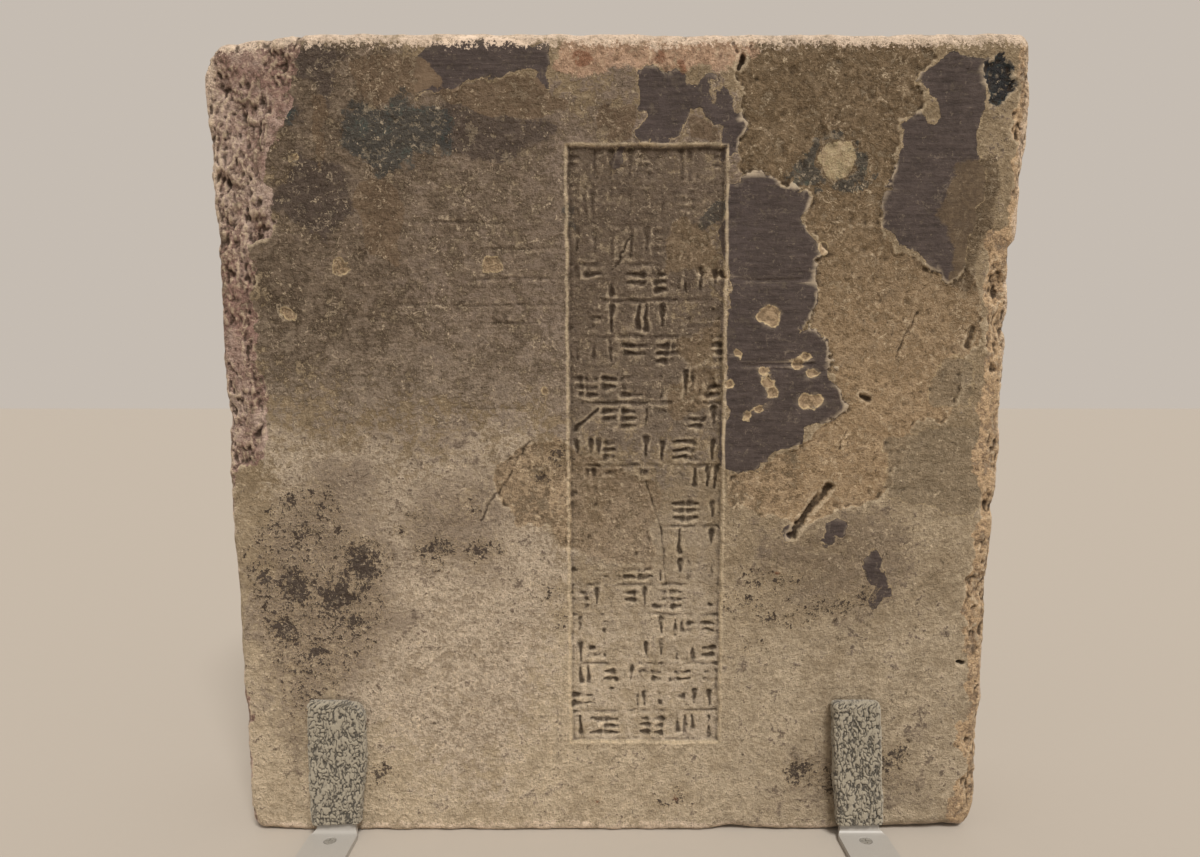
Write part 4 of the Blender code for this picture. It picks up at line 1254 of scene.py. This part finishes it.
@dataclass
class Bench:
    """Adds nodes to one material's tree."""

    tree: bpy.types.NodeTree

    def node(self, kind: str, settings: dict[str, Any] | None = None,
             values: dict[Any, Any] | None = None, output: Any = 0) -> Socket:
        """Add a node and give one of its outputs.

        Args:
            kind: the node's type.
            settings: its options, set before the sockets.
            values: numbers, colours or links for its inputs, by name or position.
            output: name or position of the output that is wanted.

        Returns:
            That output, ready for sums.
        """
        made = self.tree.nodes.new(kind)
        for name, setting in (settings or {}).items():
            setattr(made, name, setting)
        for name, value in (values or {}).items():
            self.feed(made.inputs[name], value)
        return Socket(self, made.outputs[output])

    def feed(self, target: bpy.types.NodeSocket, value: Any) -> None:
        """Link an output to an input, or set the input's number or colour."""
        if isinstance(value, Socket):
            self.tree.links.new(value.link, target)
        else:
            target.default_value = value

    def maths(self, operation: str, *values: Any) -> Socket:
        """One Math node."""
        return self.node("ShaderNodeMath", {"operation": operation}, dict(enumerate(values)))

    def rise(self, value: Socket, low: float, high: float) -> Socket:
        """0 at low, 1 at high, eased between them."""
        return self.node("ShaderNodeMapRange", {"interpolation_type": "SMOOTHSTEP"},
                         {"Value": value, "From Min": low, "From Max": high})

    def band(self, value: Socket, low: float, full: float, fading: float, gone: float) -> Socket:
        """0 up to low, 1 from full to fading, and 0 again from gone on."""
        return self.rise(value, low, full) * (1.0 - self.rise(value, fading, gone))

    def line(self, value: Socket, level: float) -> Socket:
        """1 along the line where noise has a level, 0 beside it."""
        gap = self.maths("ABSOLUTE", value - level)
        return 1.0 - self.rise(gap, LINE_CORE, LINE_EDGE)

    def mixed(self, value: Socket, low: float, high: float, dark: Any, bright: Any) -> Socket:
        """From the dark colour to the bright one as a value rises."""
        return self.blend(self.rise(value, low, high), dark, bright)

    def blend(self, share: Any, low: Any, high: Any, mode: str = "MIX") -> Socket:
        """Mix two colours."""
        settings = {"data_type": "RGBA", "blend_type": mode, "clamp_factor": True}
        return self.node("ShaderNodeMix", settings, {0: share, 6: low, 7: high}, 2)

    def bump(self, strength: float, distance: float, height: Socket) -> Socket:
        """A surface tilted by a height, without moving it."""
        return self.node("ShaderNodeBump", {}, {
            "Strength": strength, "Distance": distance, "Height": height})

    def attribute(self, name: str) -> Socket:
        """A number kept on the mesh."""
        return self.node("ShaderNodeAttribute", {"attribute_name": name}, {}, "Fac")

    def place(self, stretch: tuple[float, float, float] = (1.0, 1.0, 1.0)) -> Socket:
        """Object coordinates, stretched along the axes."""
        at = self.node("ShaderNodeTexCoord", {}, {}, "Object")
        return self.node("ShaderNodeMapping", {}, {"Vector": at, "Scale": stretch})

    def clouds(self, at: Socket, size: float, detail: float = 4.0, rough: float = 0.55,
               warp: float = 0.0) -> Socket:
        """Noise with patches of a size in millimetres, from about -1 to 1."""
        made = self.node("ShaderNodeTexNoise", {}, {
            "Vector": at, "Scale": 1.0 / (size * MM), "Detail": detail, "Roughness": rough,
            "Distortion": warp}, "Fac")
        return (made - 0.5) * 2.4

    def flakes(self, at: Socket, size: float, warp: float) -> Socket:
        """Level of each flake from -0.5 to 0.5: cells whose borders are bent by noise.

        Args:
            at: the places.
            size: usual size of a flake in millimetres.
            warp: how far the borders are bent, in millimetres.

        Returns:
            One level for each flake.
        """
        bent = self.node("ShaderNodeTexNoise", {}, {
            "Vector": at, "Scale": 1.2 / (size * MM), "Detail": 2.0, "Roughness": 0.7}, "Color")
        moved = self.node("ShaderNodeVectorMath", {"operation": "MULTIPLY_ADD"},
                          {0: bent, 1: (warp * MM,) * 3, 2: at})
        cell = self.node("ShaderNodeTexVoronoi", {}, {
            "Vector": moved, "Scale": 1.0 / (size * MM)}, "Color")
        return self.node("ShaderNodeSeparateColor", {}, {0: cell}, 0) - 0.5


def linear(red: float, green: float, blue: float) -> tuple[float, float, float, float]:
    """A colour given as it looks on a screen (0 to 255), made linear."""
    def one(level: float) -> float:
        """One channel."""
        share = level / 255.0
        return share / 12.92 if share <= 0.04045 else ((share + 0.055) / 1.055) ** 2.4
    return (one(red), one(green), one(blue), 1.0)


def new_material(name: str) -> tuple[bpy.types.Material, Bench, bpy.types.Node]:
    """An empty node material, its bench and its main shader."""
    material = bpy.data.materials.new(name)
    material.use_nodes = True
    tree = material.node_tree
    shader = next(node for node in tree.nodes if node.type == "BSDF_PRINCIPLED")
    return material, Bench(tree), shader


# ---------------------------------------------------------------- finishes


class Coat:
    """The clay's colour while it is laid on, and the noise that its layers share."""

    def __init__(self, bench: Bench) -> None:
        """Make the noise from fine grain to broad clouds, and the shares made of it."""
        self.bench = bench
        self.at = at = bench.place()
        self.grain = bench.clouds(at, 0.7, 3.0, 0.65)
        self.fine = bench.clouds(at, 1.7, 4.0, 0.74)
        self.small = bench.clouds(at, 4.2, 5.0, 0.74)
        self.middle = bench.clouds(at, 11.0, 5.0, 0.72)
        self.broad = bench.clouds(at, 42.0, 3.0, 0.6)
        self.lines = bench.clouds(bench.place((0.15, 1.0, 1.0)), 1.7, 4.0, 0.72)
        self.up = bench.node("ShaderNodeSeparateXYZ", {}, {"Vector": at}, "Z")
        self.across = bench.node("ShaderNodeSeparateXYZ", {}, {"Vector": at}, "X")
        self.edge = self.fine + 0.4 * self.grain + 0.9 * self.small
        self.mottle = self.middle + 0.8 * self.small + 0.4 * self.fine + 0.3 * self.broad
        # Share of the lowest part of the face, where colours lighten: partly paler, cleaner clay, partly
        # painted bounce light from below.
        self.low = bench.rise(0.0 - self.up + 0.03 * self.broad + 0.02 * self.middle, -0.20, -0.05)
        self.skin_at = self.tone(Tone.SKIN) + self.edge
        self.rough = bench.maths("MAXIMUM", 1.0 - bench.rise(self.skin_at, -0.2, 0.4), 0.2)
        self.colour: Any = None

    def tone(self, tone: Tone) -> Socket:
        """Distance inside a tone, in millimetres."""
        return self.bench.attribute(tone.value)

    def mask(self, tone: Tone, low: float, high: float, spread: float = 1.0) -> Socket:
        """1 well inside a tone, 0 outside, with a finely ragged border."""
        return self.bench.rise(self.tone(tone) + self.edge * spread, low, high)

    def patches(self, low: float, high: float) -> Socket:
        """Share of a layer that comes and goes in patches of middle size."""
        return self.bench.rise(self.middle + self.small, low, high)

    def lay(self, share: Any, over: Any) -> None:
        """Lay a colour over what is there."""
        self.colour = self.bench.blend(share, self.colour, over)


@dataclass(frozen=True)
class ClayFinish:
    """Fired clay with its stained skin, bare ground, broken slopes and dirt, with painted shade and
    highlights.
    """

    # The buff is lighter low on the face, partly as painted bounce light from below.
    buff_low: tuple = linear(199, 182, 157)
    buff_low_deep: tuple = linear(164, 147, 123)
    buff_high: tuple = linear(162, 144, 118)
    buff_high_deep: tuple = linear(126, 108, 83)
    rosy: tuple = linear(198, 182, 162)
    rosy_deep: tuple = linear(136, 119, 101)
    olive: tuple = linear(132, 116, 100)
    olive_deep: tuple = linear(76, 63, 50)
    olive_pink: tuple = linear(156, 140, 129)
    brown: tuple = linear(104, 88, 75)
    skin: tuple = linear(82, 72, 70)
    skin_deep: tuple = linear(50, 43, 43)
    bare_low: tuple = linear(180, 156, 126)
    bare_high: tuple = linear(134, 115, 91)
    bare_deep: tuple = linear(84, 67, 46)
    bare_low_deep: tuple = linear(138, 114, 84)
    film: tuple = linear(108, 92, 72)
    film_deep: tuple = linear(78, 64, 50)
    pit: tuple = linear(30, 34, 42)
    pit_green: tuple = linear(48, 64, 68)
    spall: tuple = linear(198, 175, 162)
    spall_pink: tuple = linear(158, 127, 116)
    spall_deep: tuple = linear(92, 71, 61)
    spall_right: tuple = linear(208, 178, 142)
    teal: tuple = linear(64, 66, 65)
    teal_green: tuple = linear(46, 78, 78)
    soot: tuple = linear(60, 51, 48)
    stain: tuple = linear(72, 62, 58)
    rust: tuple = linear(122, 70, 44)
    red: tuple = linear(206, 172, 146)
    red_deep: tuple = linear(142, 110, 88)
    pale: tuple = linear(124, 105, 85)
    pale_deep: tuple = linear(92, 75, 59)
    lump: tuple = linear(184, 168, 134)
    grey: tuple = linear(152, 136, 113)
    grey_deep: tuple = linear(122, 107, 86)
    # Pale colour of worn arrises; on the top strip it is partly painted light from above.
    arris: tuple = linear(236, 214, 192)
    # Dark colour for real dirt in crumbs, and also for painted shade in hollows, strokes and beside scabs.
    dirt_and_shade: tuple = linear(58, 46, 35)
    # Pale colour for light crumbs, and also for painted highlights on crests and scab rims.
    light: tuple = linear(228, 208, 178)
    # Light rims; along the panel's lip this colour is partly painted highlight.
    light_rim: tuple = linear(198, 176, 138)

    def make(self) -> bpy.types.Material:
        """Build the material: tones one over another, dirt and painted shade in hollows, painted
        highlights on crests, fine grain.
        """
        material, bench, shader = new_material("fired_clay_worn")
        coat = Coat(bench)
        self.ground(coat)
        self.bared(coat)
        self.skinned(coat)
        self.spots(coat)
        self.broken(coat)
        self.stamped(coat)
        self.scabs(coat)
        self.crumbs(coat)
        self.shaded(coat)
        bench.feed(shader.inputs["Base Color"], coat.colour)
        bench.feed(shader.inputs["Roughness"], 0.84 + 0.07 * coat.grain)
        shader.inputs["Specular IOR Level"].default_value = 0.2
        height = (coat.fine + 0.2 * coat.grain + 1.1 * coat.small) * coat.rough + 0.2 * coat.lines
        bench.feed(shader.inputs["Normal"], bench.bump(1.0, 0.0008, height))
        return material

    def ground(self, coat: Coat) -> None:
        """Buff clay, the rosy and olive zones, haze and stains."""
        bench, fine, small, middle = coat.bench, coat.fine, coat.small, coat.middle
        # Buff lighter low on the face, partly as painted bounce light from below.
        coat.colour = bench.mixed(coat.mottle, -0.65, 0.4,
                                  bench.blend(coat.low, self.buff_high_deep, self.buff_low_deep),
                                  bench.blend(coat.low, self.buff_high, self.buff_low))
        rosy = bench.mixed(small + 0.7 * middle + 0.8 * fine, -0.65, 0.35,
                           self.rosy_deep, self.rosy)
        rosy_at = coat.tone(Tone.ROSY) + 30.0 * middle + 24.0 * small + 10.0 * fine
        coat.lay(bench.rise(rosy_at, -10.0, 8.0) * 0.8, rosy)
        varied = 0.8 * small + 0.9 * middle + 0.6 * fine + 0.5 * coat.lines + 3.0 * coat.across
        olive = bench.mixed(varied, -0.85, 0.25, self.olive_deep, self.olive)
        pink = bench.rise(0.8 * middle + small + 0.5 * coat.broad + 4.0 * coat.across, -0.35, 0.5)
        olive = bench.blend(pink * 0.55, olive,
                            bench.mixed(small + fine, -0.7, 0.5, self.olive_deep, self.olive_pink))
        lower = bench.rise(0.03 * middle + 0.02 * small - coat.up, -0.235, -0.17)
        olive = bench.blend(lower * 0.32, olive, rosy)
        olive_at = coat.tone(Tone.OLIVE) + 36.0 * middle + 44.0 * small + 30.0 * fine
        coat.lay(bench.rise(olive_at, -9.0, 5.0) * 0.95, olive)
        haze_at = coat.tone(Tone.HAZE) + 36.0 * middle + 36.0 * small + 24.0 * fine
        coat.lay(bench.rise(haze_at, -4.0, 8.0) * 0.5, self.brown)
        coat.lay(coat.mask(Tone.STAIN, -1.0, 1.2, 3.0) * 0.7, self.stain)

    def bared(self, coat: Coat) -> None:
        """Ground whose skin has come off: bare, patched, grey and reddish."""
        bench, fine, small, middle = coat.bench, coat.fine, coat.small, coat.middle
        high = bench.rise(coat.up + 0.03 * middle, 0.17, 0.31)
        coat.lay(coat.mask(Tone.BARE, -0.3, 0.3),
                 bench.mixed(small + 0.8 * middle + 0.7 * fine, -0.65, 0.45,
                             bench.blend(high, self.bare_low_deep, self.bare_deep),
                             bench.blend(high, self.bare_low, self.bare_high)))
        coat.lay(coat.mask(Tone.PATCH, -0.4, 0.6, 1.5) * 0.8,
                 bench.mixed(small + 0.8 * middle + 0.8 * fine, -0.6, 0.4,
                             self.bare_deep, self.bare_low))
        coat.lay(coat.mask(Tone.GREY, -0.6, 0.8) * 0.8,
                 bench.mixed(small + middle + 0.5 * coat.lines, -0.8, 0.6,
                             self.grey_deep, self.grey))
        grey_at = coat.tone(Tone.GREY) + coat.edge * 0.7
        grey_rim = bench.band(grey_at, -1.0, -0.3, 0.0, 0.7)
        coat.lay(grey_rim * coat.patches(-0.1, 0.3) * 0.4, self.light_rim)
        coat.lay(coat.mask(Tone.RED, -0.8, 1.2, 2.0) * 0.85,
                 bench.mixed(small + 0.8 * middle + 0.6 * fine, -0.8, 0.5, self.red_deep, self.red))

    def skinned(self, coat: Coat) -> None:
        """The dark skin with its light rim, and the brown film."""
        bench, fine, small, middle = coat.bench, coat.fine, coat.small, coat.middle
        skin = bench.mixed(coat.lines + 0.5 * middle + 0.5 * fine + 0.4 * small, -0.8, 0.75,
                           self.skin_deep, self.skin)
        scratches = bench.rise(coat.lines + 0.4 * fine, 0.42, 0.62)
        skin = bench.blend(scratches * 0.3, skin, self.olive_pink)
        coat.lay(bench.rise(coat.skin_at, -0.12, 0.12) * 0.96, skin)
        coat.lay(coat.mask(Tone.FILM, -0.5, 1.5, 1.5) * 0.8,
                 bench.mixed(small + middle + fine, -0.8, 0.6, self.film_deep, self.film))
        rim = bench.band(coat.skin_at, -0.55, -0.1, 0.0, 0.35)
        coat.lay(rim * coat.patches(-0.3, 0.4) * 0.6, self.light_rim)

    def spots(self, coat: Coat) -> None:
        """Pale patches and the lump, teal, the dark pit, soot, rust and small flakes."""
        bench, fine, small, middle = coat.bench, coat.fine, coat.small, coat.middle
        on_lump = bench.rise(coat.across, 0.07, 0.075)
        coat.lay(coat.mask(Tone.PALE, -0.3, 0.4) * 0.88,
                 bench.blend(on_lump,
                             bench.mixed(coat.mottle, -0.7, 0.5, self.pale_deep, self.pale),
                             bench.mixed(small + fine, -0.8, 0.5, self.bare_low, self.lump)))
        coat.lay(coat.mask(Tone.TEAL, -0.8, 0.9, 2.8) * 0.75,
                 bench.mixed(middle + small, 0.1, 0.6, self.teal, self.teal_green))
        coat.lay(coat.mask(Tone.PIT, -0.3, 0.5) * 0.95,
                 bench.mixed(coat.lines + small, -0.2, 0.9, self.pit, self.pit_green))
        soot_at = (0.07 * coat.tone(Tone.SOOT) + fine + 0.8 * small + 0.2 * middle
                   + 0.5 * coat.grain + 0.06)
        coat.lay(bench.rise(soot_at, 0.0, 0.3) * 0.2, self.brown)
        coat.lay(bench.rise(soot_at, 0.34, 0.38) * 0.85, self.soot)
        coat.lay(bench.band(soot_at, 0.16, 0.22, 0.29, 0.33) * 0.45, self.light_rim)
        coat.lay(coat.mask(Tone.RUST, -0.2, 0.9) * 0.6, self.rust)
        flake_at = coat.tone(Tone.FLAKE) + 0.5 * coat.edge
        coat.lay(bench.rise(flake_at, -0.1, 0.2) * 0.9,
                 bench.mixed(small + fine, -0.9, 0.5, self.bare_deep, self.bare_low))
        ring = bench.band(flake_at, -0.6, -0.15, 0.05, 0.4)
        coat.lay(ring * bench.rise(small, -0.4, 0.1) * 0.8, self.light_rim)

    def broken(self, coat: Coat) -> None:
        """The broken slopes and the light, worn arrises; the top strip is lighter partly as painted light
        from above.
        """
        bench, fine, small, middle = coat.bench, coat.fine, coat.small, coat.middle
        left = bench.mixed(coat.broad + middle, -0.4, 0.4, self.spall_pink, self.spall)
        spall = bench.blend(bench.rise(coat.across, 0.0, 0.01), left, self.spall_right)
        coat.lay(coat.mask(Tone.SPALL, -0.3, 0.3) * 0.95,
                 bench.mixed(small + 0.8 * middle + 0.9 * fine, -0.8, 0.35, self.spall_deep, spall))
        worn_edge = bench.rise(0.0 - coat.tone(Tone.EDGE) + 2.6 * coat.edge, -4.6, -2.8)
        coat.lay(worn_edge * coat.patches(-0.8, 0.4) * 0.7, self.arris)
        # Top strip: worn arris, lighter partly as painted light from above.
        worn_lit_top = bench.rise(coat.up + 0.0050 * coat.edge, 0.3280, 0.3292)
        coat.lay(worn_lit_top * coat.patches(-0.9, 0.2) * 0.85, self.arris)

    def stamped(self, coat: Coat) -> None:
        """The panel's floor, its light border, partly painted highlight on the lip, and dirt with painted
        shade in its strokes.
        """
        bench = coat.bench
        inner = coat.tone(Tone.PANEL)
        in_panel = bench.rise(inner, 0.3, 1.0)
        clouded = bench.rise(coat.mottle, -0.5, 0.3)
        coat.lay(in_panel * coat.low * clouded * 0.7, self.rosy)
        coat.lay(in_panel * (1.0 - coat.low) * clouded * 0.6, self.olive_deep)
        # The light line along the lip is partly painted highlight.
        border = bench.band(inner, -1.3, -0.4, 0.0, 0.7)
        coat.lay(border * coat.patches(-0.25, 0.35) * 0.5, self.light_rim)
        # Dirt and painted shade darken the strokes and rules.
        cut = coat.tone(Tone.CARVED) + 0.35 * coat.fine + 0.2 * coat.small
        coat.lay(bench.rise(cut, 0.15, 0.9) * 0.5, self.dirt_and_shade)

    def scabs(self, coat: Coat) -> None:
        """Thin scabs: each has a light rim, partly painted highlight, and a dark line beside it that is
        painted shade.
        """
        bench = coat.bench
        curls = bench.clouds(coat.at, 5.5, 4.0, 0.62, 1.4)
        patchy = bench.rise(bench.clouds(coat.at, 20.0, 2.0, 0.65), -0.35, 0.5) * coat.rough
        # The light rim is partly painted highlight; the dark line beside it is painted shade.
        light, dark = bench.line(curls, 0.26) * patchy, bench.line(curls, 0.12) * patchy
        coat.lay(light * bench.rise(coat.fine, -0.3, 0.2) * 0.5, self.light)
        coat.lay(dark * bench.rise(coat.small, -0.2, 0.3) * 0.5, self.dirt_and_shade)

    def crumbs(self, coat: Coat) -> None:
        """Patches, crumbs and specks, each both darker and lighter than the ground."""
        bench, grain, fine, small = coat.bench, coat.grain, coat.fine, coat.small
        specks = bench.clouds(coat.at, 2.4, 3.0, 0.7) + 0.4 * grain
        for value, step, dark, dark_share, light, light_share in (
                (coat.middle + 0.8 * small + 0.6 * fine, 0.08, 0.30, 0.22, 0.28, 0.18),
                (small + 0.6 * fine + 0.3 * grain, 0.06, 0.30, 0.22, 0.32, 0.20),
                (specks, 0.08, 0.36, 0.6, 0.36, 0.45)):
            darker = bench.rise(value, dark, dark + step) * coat.rough
            lighter = bench.rise(0.0 - value, light, light + step) * coat.rough
            coat.lay(darker * dark_share, self.dirt_and_shade)
            coat.lay(lighter * light_share, self.light)

    def shaded(self, coat: Coat) -> None:
        """Dirt and painted shade in hollows, painted highlights on crests, the lower part lighter on the
        left and darker on the right, and the contrast of every size of grain.
        """
        bench, grain, fine, small = coat.bench, coat.grain, coat.fine, coat.small
        cavity, hollow = coat.tone(Tone.CAVITY), coat.tone(Tone.HOLLOW)
        # Dirt and painted shade darken the small and the broad hollows.
        coat.lay(bench.rise(cavity + 0.05 * fine, 0.03, 0.40) * 0.7, self.dirt_and_shade)
        coat.lay(bench.rise(hollow + 0.1 * fine, 0.25, 1.6) * 0.66, self.dirt_and_shade)
        # Painted highlight on raised crests.
        coat.lay(bench.rise(0.0 - cavity, 0.03, 0.30) * 0.45, self.light)
        scale, chip = bench.flakes(coat.at, 3.4, 3.2), bench.flakes(coat.at, 1.4, 1.4)
        varied = (0.24 * fine + 0.16 * grain + 0.22 * small + 0.10 * coat.middle
                  + 0.13 * scale + 0.20 * chip)
        contrast = 1.0 + coat.rough * varied + 0.08 * grain + 0.06 * coat.broad + 0.06 * coat.lines
        # Low on the face the colour is lighter on the left, partly as painted bounce light from below, and
        # darker on the right.
        rightward = bench.rise(coat.across + 0.02 * coat.broad + 0.01 * coat.middle, -0.05, 0.09)
        contrast = contrast * (1.0 + coat.low * (0.12 - 0.21 * rightward))
        coat.colour = bench.blend(1.0, coat.colour, contrast, "MULTIPLY")


@dataclass(frozen=True)
class FeltFinish:
    """Grey-beige nubby felt; the gaps between its nubs are darkened as painted shade."""

    light: tuple = linear(158, 149, 131)
    dark: tuple = linear(66, 60, 50)

    def make(self) -> bpy.types.Material:
        """Build the material: nubs light, gaps darkened as painted shade, fibres as fine bump."""
        material, bench, shader = new_material("nubby_felt")
        at = bench.place()
        fibre = bench.clouds(at, 0.35, 2.0, 0.6)
        cloud = bench.clouds(at, 8.0, 3.0, 0.5)
        nubs = bench.attribute("nub") + 0.12 * fibre + 0.06 * cloud
        # Gaps between the nubs take the dark colour as painted shade.
        colour = bench.blend(bench.rise(nubs, 0.22, 0.92), self.dark, self.light)
        bench.feed(shader.inputs["Base Color"], colour)
        bench.feed(shader.inputs["Roughness"], 0.95 + 0.03 * fibre)
        shader.inputs["Sheen Weight"].default_value = 0.25
        shader.inputs["Sheen Roughness"].default_value = 0.6
        bench.feed(shader.inputs["Normal"], bench.bump(0.6, 0.0002, fibre))
        return material


@dataclass(frozen=True)
class PaintFinish:
    """Satin warm grey paint on the straps, scuffed a little."""

    paint: tuple = linear(169, 165, 159)
    scuff: tuple = linear(144, 139, 130)

    def make(self) -> bpy.types.Material:
        """Build the material: even paint, faint scuffs and an orange-peel surface."""
        material, bench, shader = new_material("strap_paint_satin")
        at = bench.place()
        cloud = bench.clouds(at, 7.0, 5.0, 0.6)
        fine = bench.clouds(at, 0.9, 3.0, 0.5)
        colour = bench.blend(bench.rise(cloud + 0.4 * fine, 0.1, 1.2) * 0.5, self.paint, self.scuff)
        bench.feed(shader.inputs["Base Color"], colour)
        bench.feed(shader.inputs["Roughness"], 0.42 + 0.07 * cloud)
        bench.feed(shader.inputs["Normal"], bench.bump(0.25, 0.0001, fine))
        return material


@dataclass(frozen=True)
class SteelFinish:
    """Dull steel of the screws, darkened in places."""

    bright: tuple = linear(180, 176, 168)
    dull: tuple = linear(128, 122, 114)

    def make(self) -> bpy.types.Material:
        """Build the material: turned marks and dull spots."""
        material, bench, shader = new_material("screw_steel_dull")
        at = bench.place()
        spots = bench.clouds(at, 1.2, 4.0, 0.6)
        fine = bench.clouds(bench.place((4.0, 0.5, 1.0)), 0.4, 2.0, 0.5)
        bench.feed(shader.inputs["Base Color"],
                   bench.mixed(spots, -0.4, 0.9, self.bright, self.dull))
        bench.feed(shader.inputs["Roughness"], 0.5 + 0.1 * spots)
        shader.inputs["Metallic"].default_value = 0.45
        bench.feed(shader.inputs["Normal"], bench.bump(0.2, 0.0001, fine))
        return material


@dataclass(frozen=True)
class FloorFinish:
    """Plain pale floor."""

    colour: tuple = linear(178, 170, 160)
    clouded: tuple = linear(164, 156, 146)

    def make(self) -> bpy.types.Material:
        """Build the material: one pale colour with the faintest mottling."""
        material, bench, shader = new_material("pale_floor")
        cloud = bench.clouds(bench.place(), 6.0, 3.0, 0.5)
        bench.feed(shader.inputs["Base Color"],
                   bench.blend(bench.rise(cloud, -1.0, 1.0) * 0.04, self.colour, self.clouded))
        shader.inputs["Roughness"].default_value = 0.9
        return material


# ---------------------------------------------------------------- brackets and studio


@dataclass
class Brackets:
    """The strap brackets and their screws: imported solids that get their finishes."""

    straps: tuple[str, ...] = ("bracket_left", "bracket_right")
    screws: tuple[str, ...] = (
        "screw_left_rear", "screw_left_front", "screw_right_rear", "screw_right_front")

    def dress(self) -> None:
        """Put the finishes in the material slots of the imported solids."""
        paint, steel = PaintFinish().make(), SteelFinish().make()
        for names, material in ((self.straps, paint), (self.screws, steel)):
            for name in names:
                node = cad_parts[name]
                if not node.material_slots:
                    node.data.materials.append(material)
                for place in node.material_slots:
                    place.material = material
                LOG.info("dressed %s with %s", name, material.name)


@dataclass
class Studio:
    """Floor, soft light and camera."""

    camera_place: tuple[float, float, float] = (-0.005754, -0.354664, 0.19213)
    camera_pitch: float = 7.948
    lens: float = 22.8
    shift_up: float = 0.06375
    floor_size: float = 30.0
    sky: float = 1.0
    sun: float = 2.75
    sun_spread: float = 16.0
    sun_height: float = 54.0
    sun_aside: float = 22.0

    def floor(self) -> None:
        """Lay the floor, a flat square so large that its edge lies near the horizon."""
        steps = np.linspace(-1.0, 1.0, 41)
        x, y = np.meshgrid(steps * self.floor_size / 2, steps * self.floor_size / 2)
        points = np.stack([x.ravel(), y.ravel(), np.zeros(x.size)], axis=1) / MM
        index = np.arange(x.size).reshape(x.shape)
        made = solid_mesh("floor", points, grid_faces(index), np.empty((0, 3), dtype=int))
        made.data.materials.append(FloorFinish().make())

    def light(self) -> None:
        """An even pale sky with one broad light from above, in front and to the right."""
        world = bpy.data.worlds.new("studio_sky")
        world.use_nodes = True
        back = next(node for node in world.node_tree.nodes if node.type == "BACKGROUND")
        back.inputs["Color"].default_value = (0.560, 0.503, 0.445, 1.0)
        back.inputs["Strength"].default_value = self.sky
        bpy.context.scene.world = world
        sun = bpy.data.lights.new("soft_daylight", "SUN")
        sun.energy, sun.angle = self.sun, math.radians(self.sun_spread)
        sun.color = (1.0, 0.97, 0.92)
        made = bpy.data.objects.new("soft_daylight", sun)
        made.location = (0.6, -1.2, 1.6)
        made.rotation_euler = (math.radians(90.0 - self.sun_height), 0.0,
                               math.radians(self.sun_aside))
        bpy.context.scene.collection.objects.link(made)

    def camera(self) -> None:
        """Stand the camera where the photograph was taken from."""
        lens = bpy.data.cameras.new("camera")
        lens.lens, lens.sensor_width, lens.sensor_fit = self.lens, 36.0, "HORIZONTAL"
        lens.shift_y = self.shift_up
        lens.clip_start, lens.clip_end = 0.01, 100.0
        made = bpy.data.objects.new("camera", lens)
        made.location = self.camera_place
        made.rotation_euler = (math.radians(90.0 - self.camera_pitch), 0.0, 0.0)
        bpy.context.scene.collection.objects.link(made)
        bpy.context.scene.camera = made

    def build(self) -> None:
        """Set up the whole studio."""
        self.floor()
        self.light()
        self.camera()
        bpy.context.scene.view_settings.view_transform = "Standard"


def main() -> None:
    """Build and dress every piece."""
    logging.basicConfig(level=logging.INFO, format="%(name)s: %(message)s")
    Studio().build()
    brick = Brick().build()
    brick.data.materials.append(ClayFinish().make())
    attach(brick, "root")
    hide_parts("brick")
    LOG.info("brick: %d faces", len(brick.data.polygons))
    felt = FeltFinish().make()
    for sleeve in (Sleeve("left", middle=-122.8, leg_shift=0.6, lean=2.5, swell=4.2, seed=501,
                          slump=1.0),
                   Sleeve("right", middle=109.5, leg_shift=-0.6, lean=-4.2, swell=0.4, seed=601)):
        made = sleeve.build()
        made.data.materials.append(felt)
        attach(made, "root")
        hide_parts(f"sleeve_{sleeve.side}")
        LOG.info("%s: %d faces", made.name, len(made.data.polygons))
    Brackets().dress()


if __name__ == "__main__":
    main()
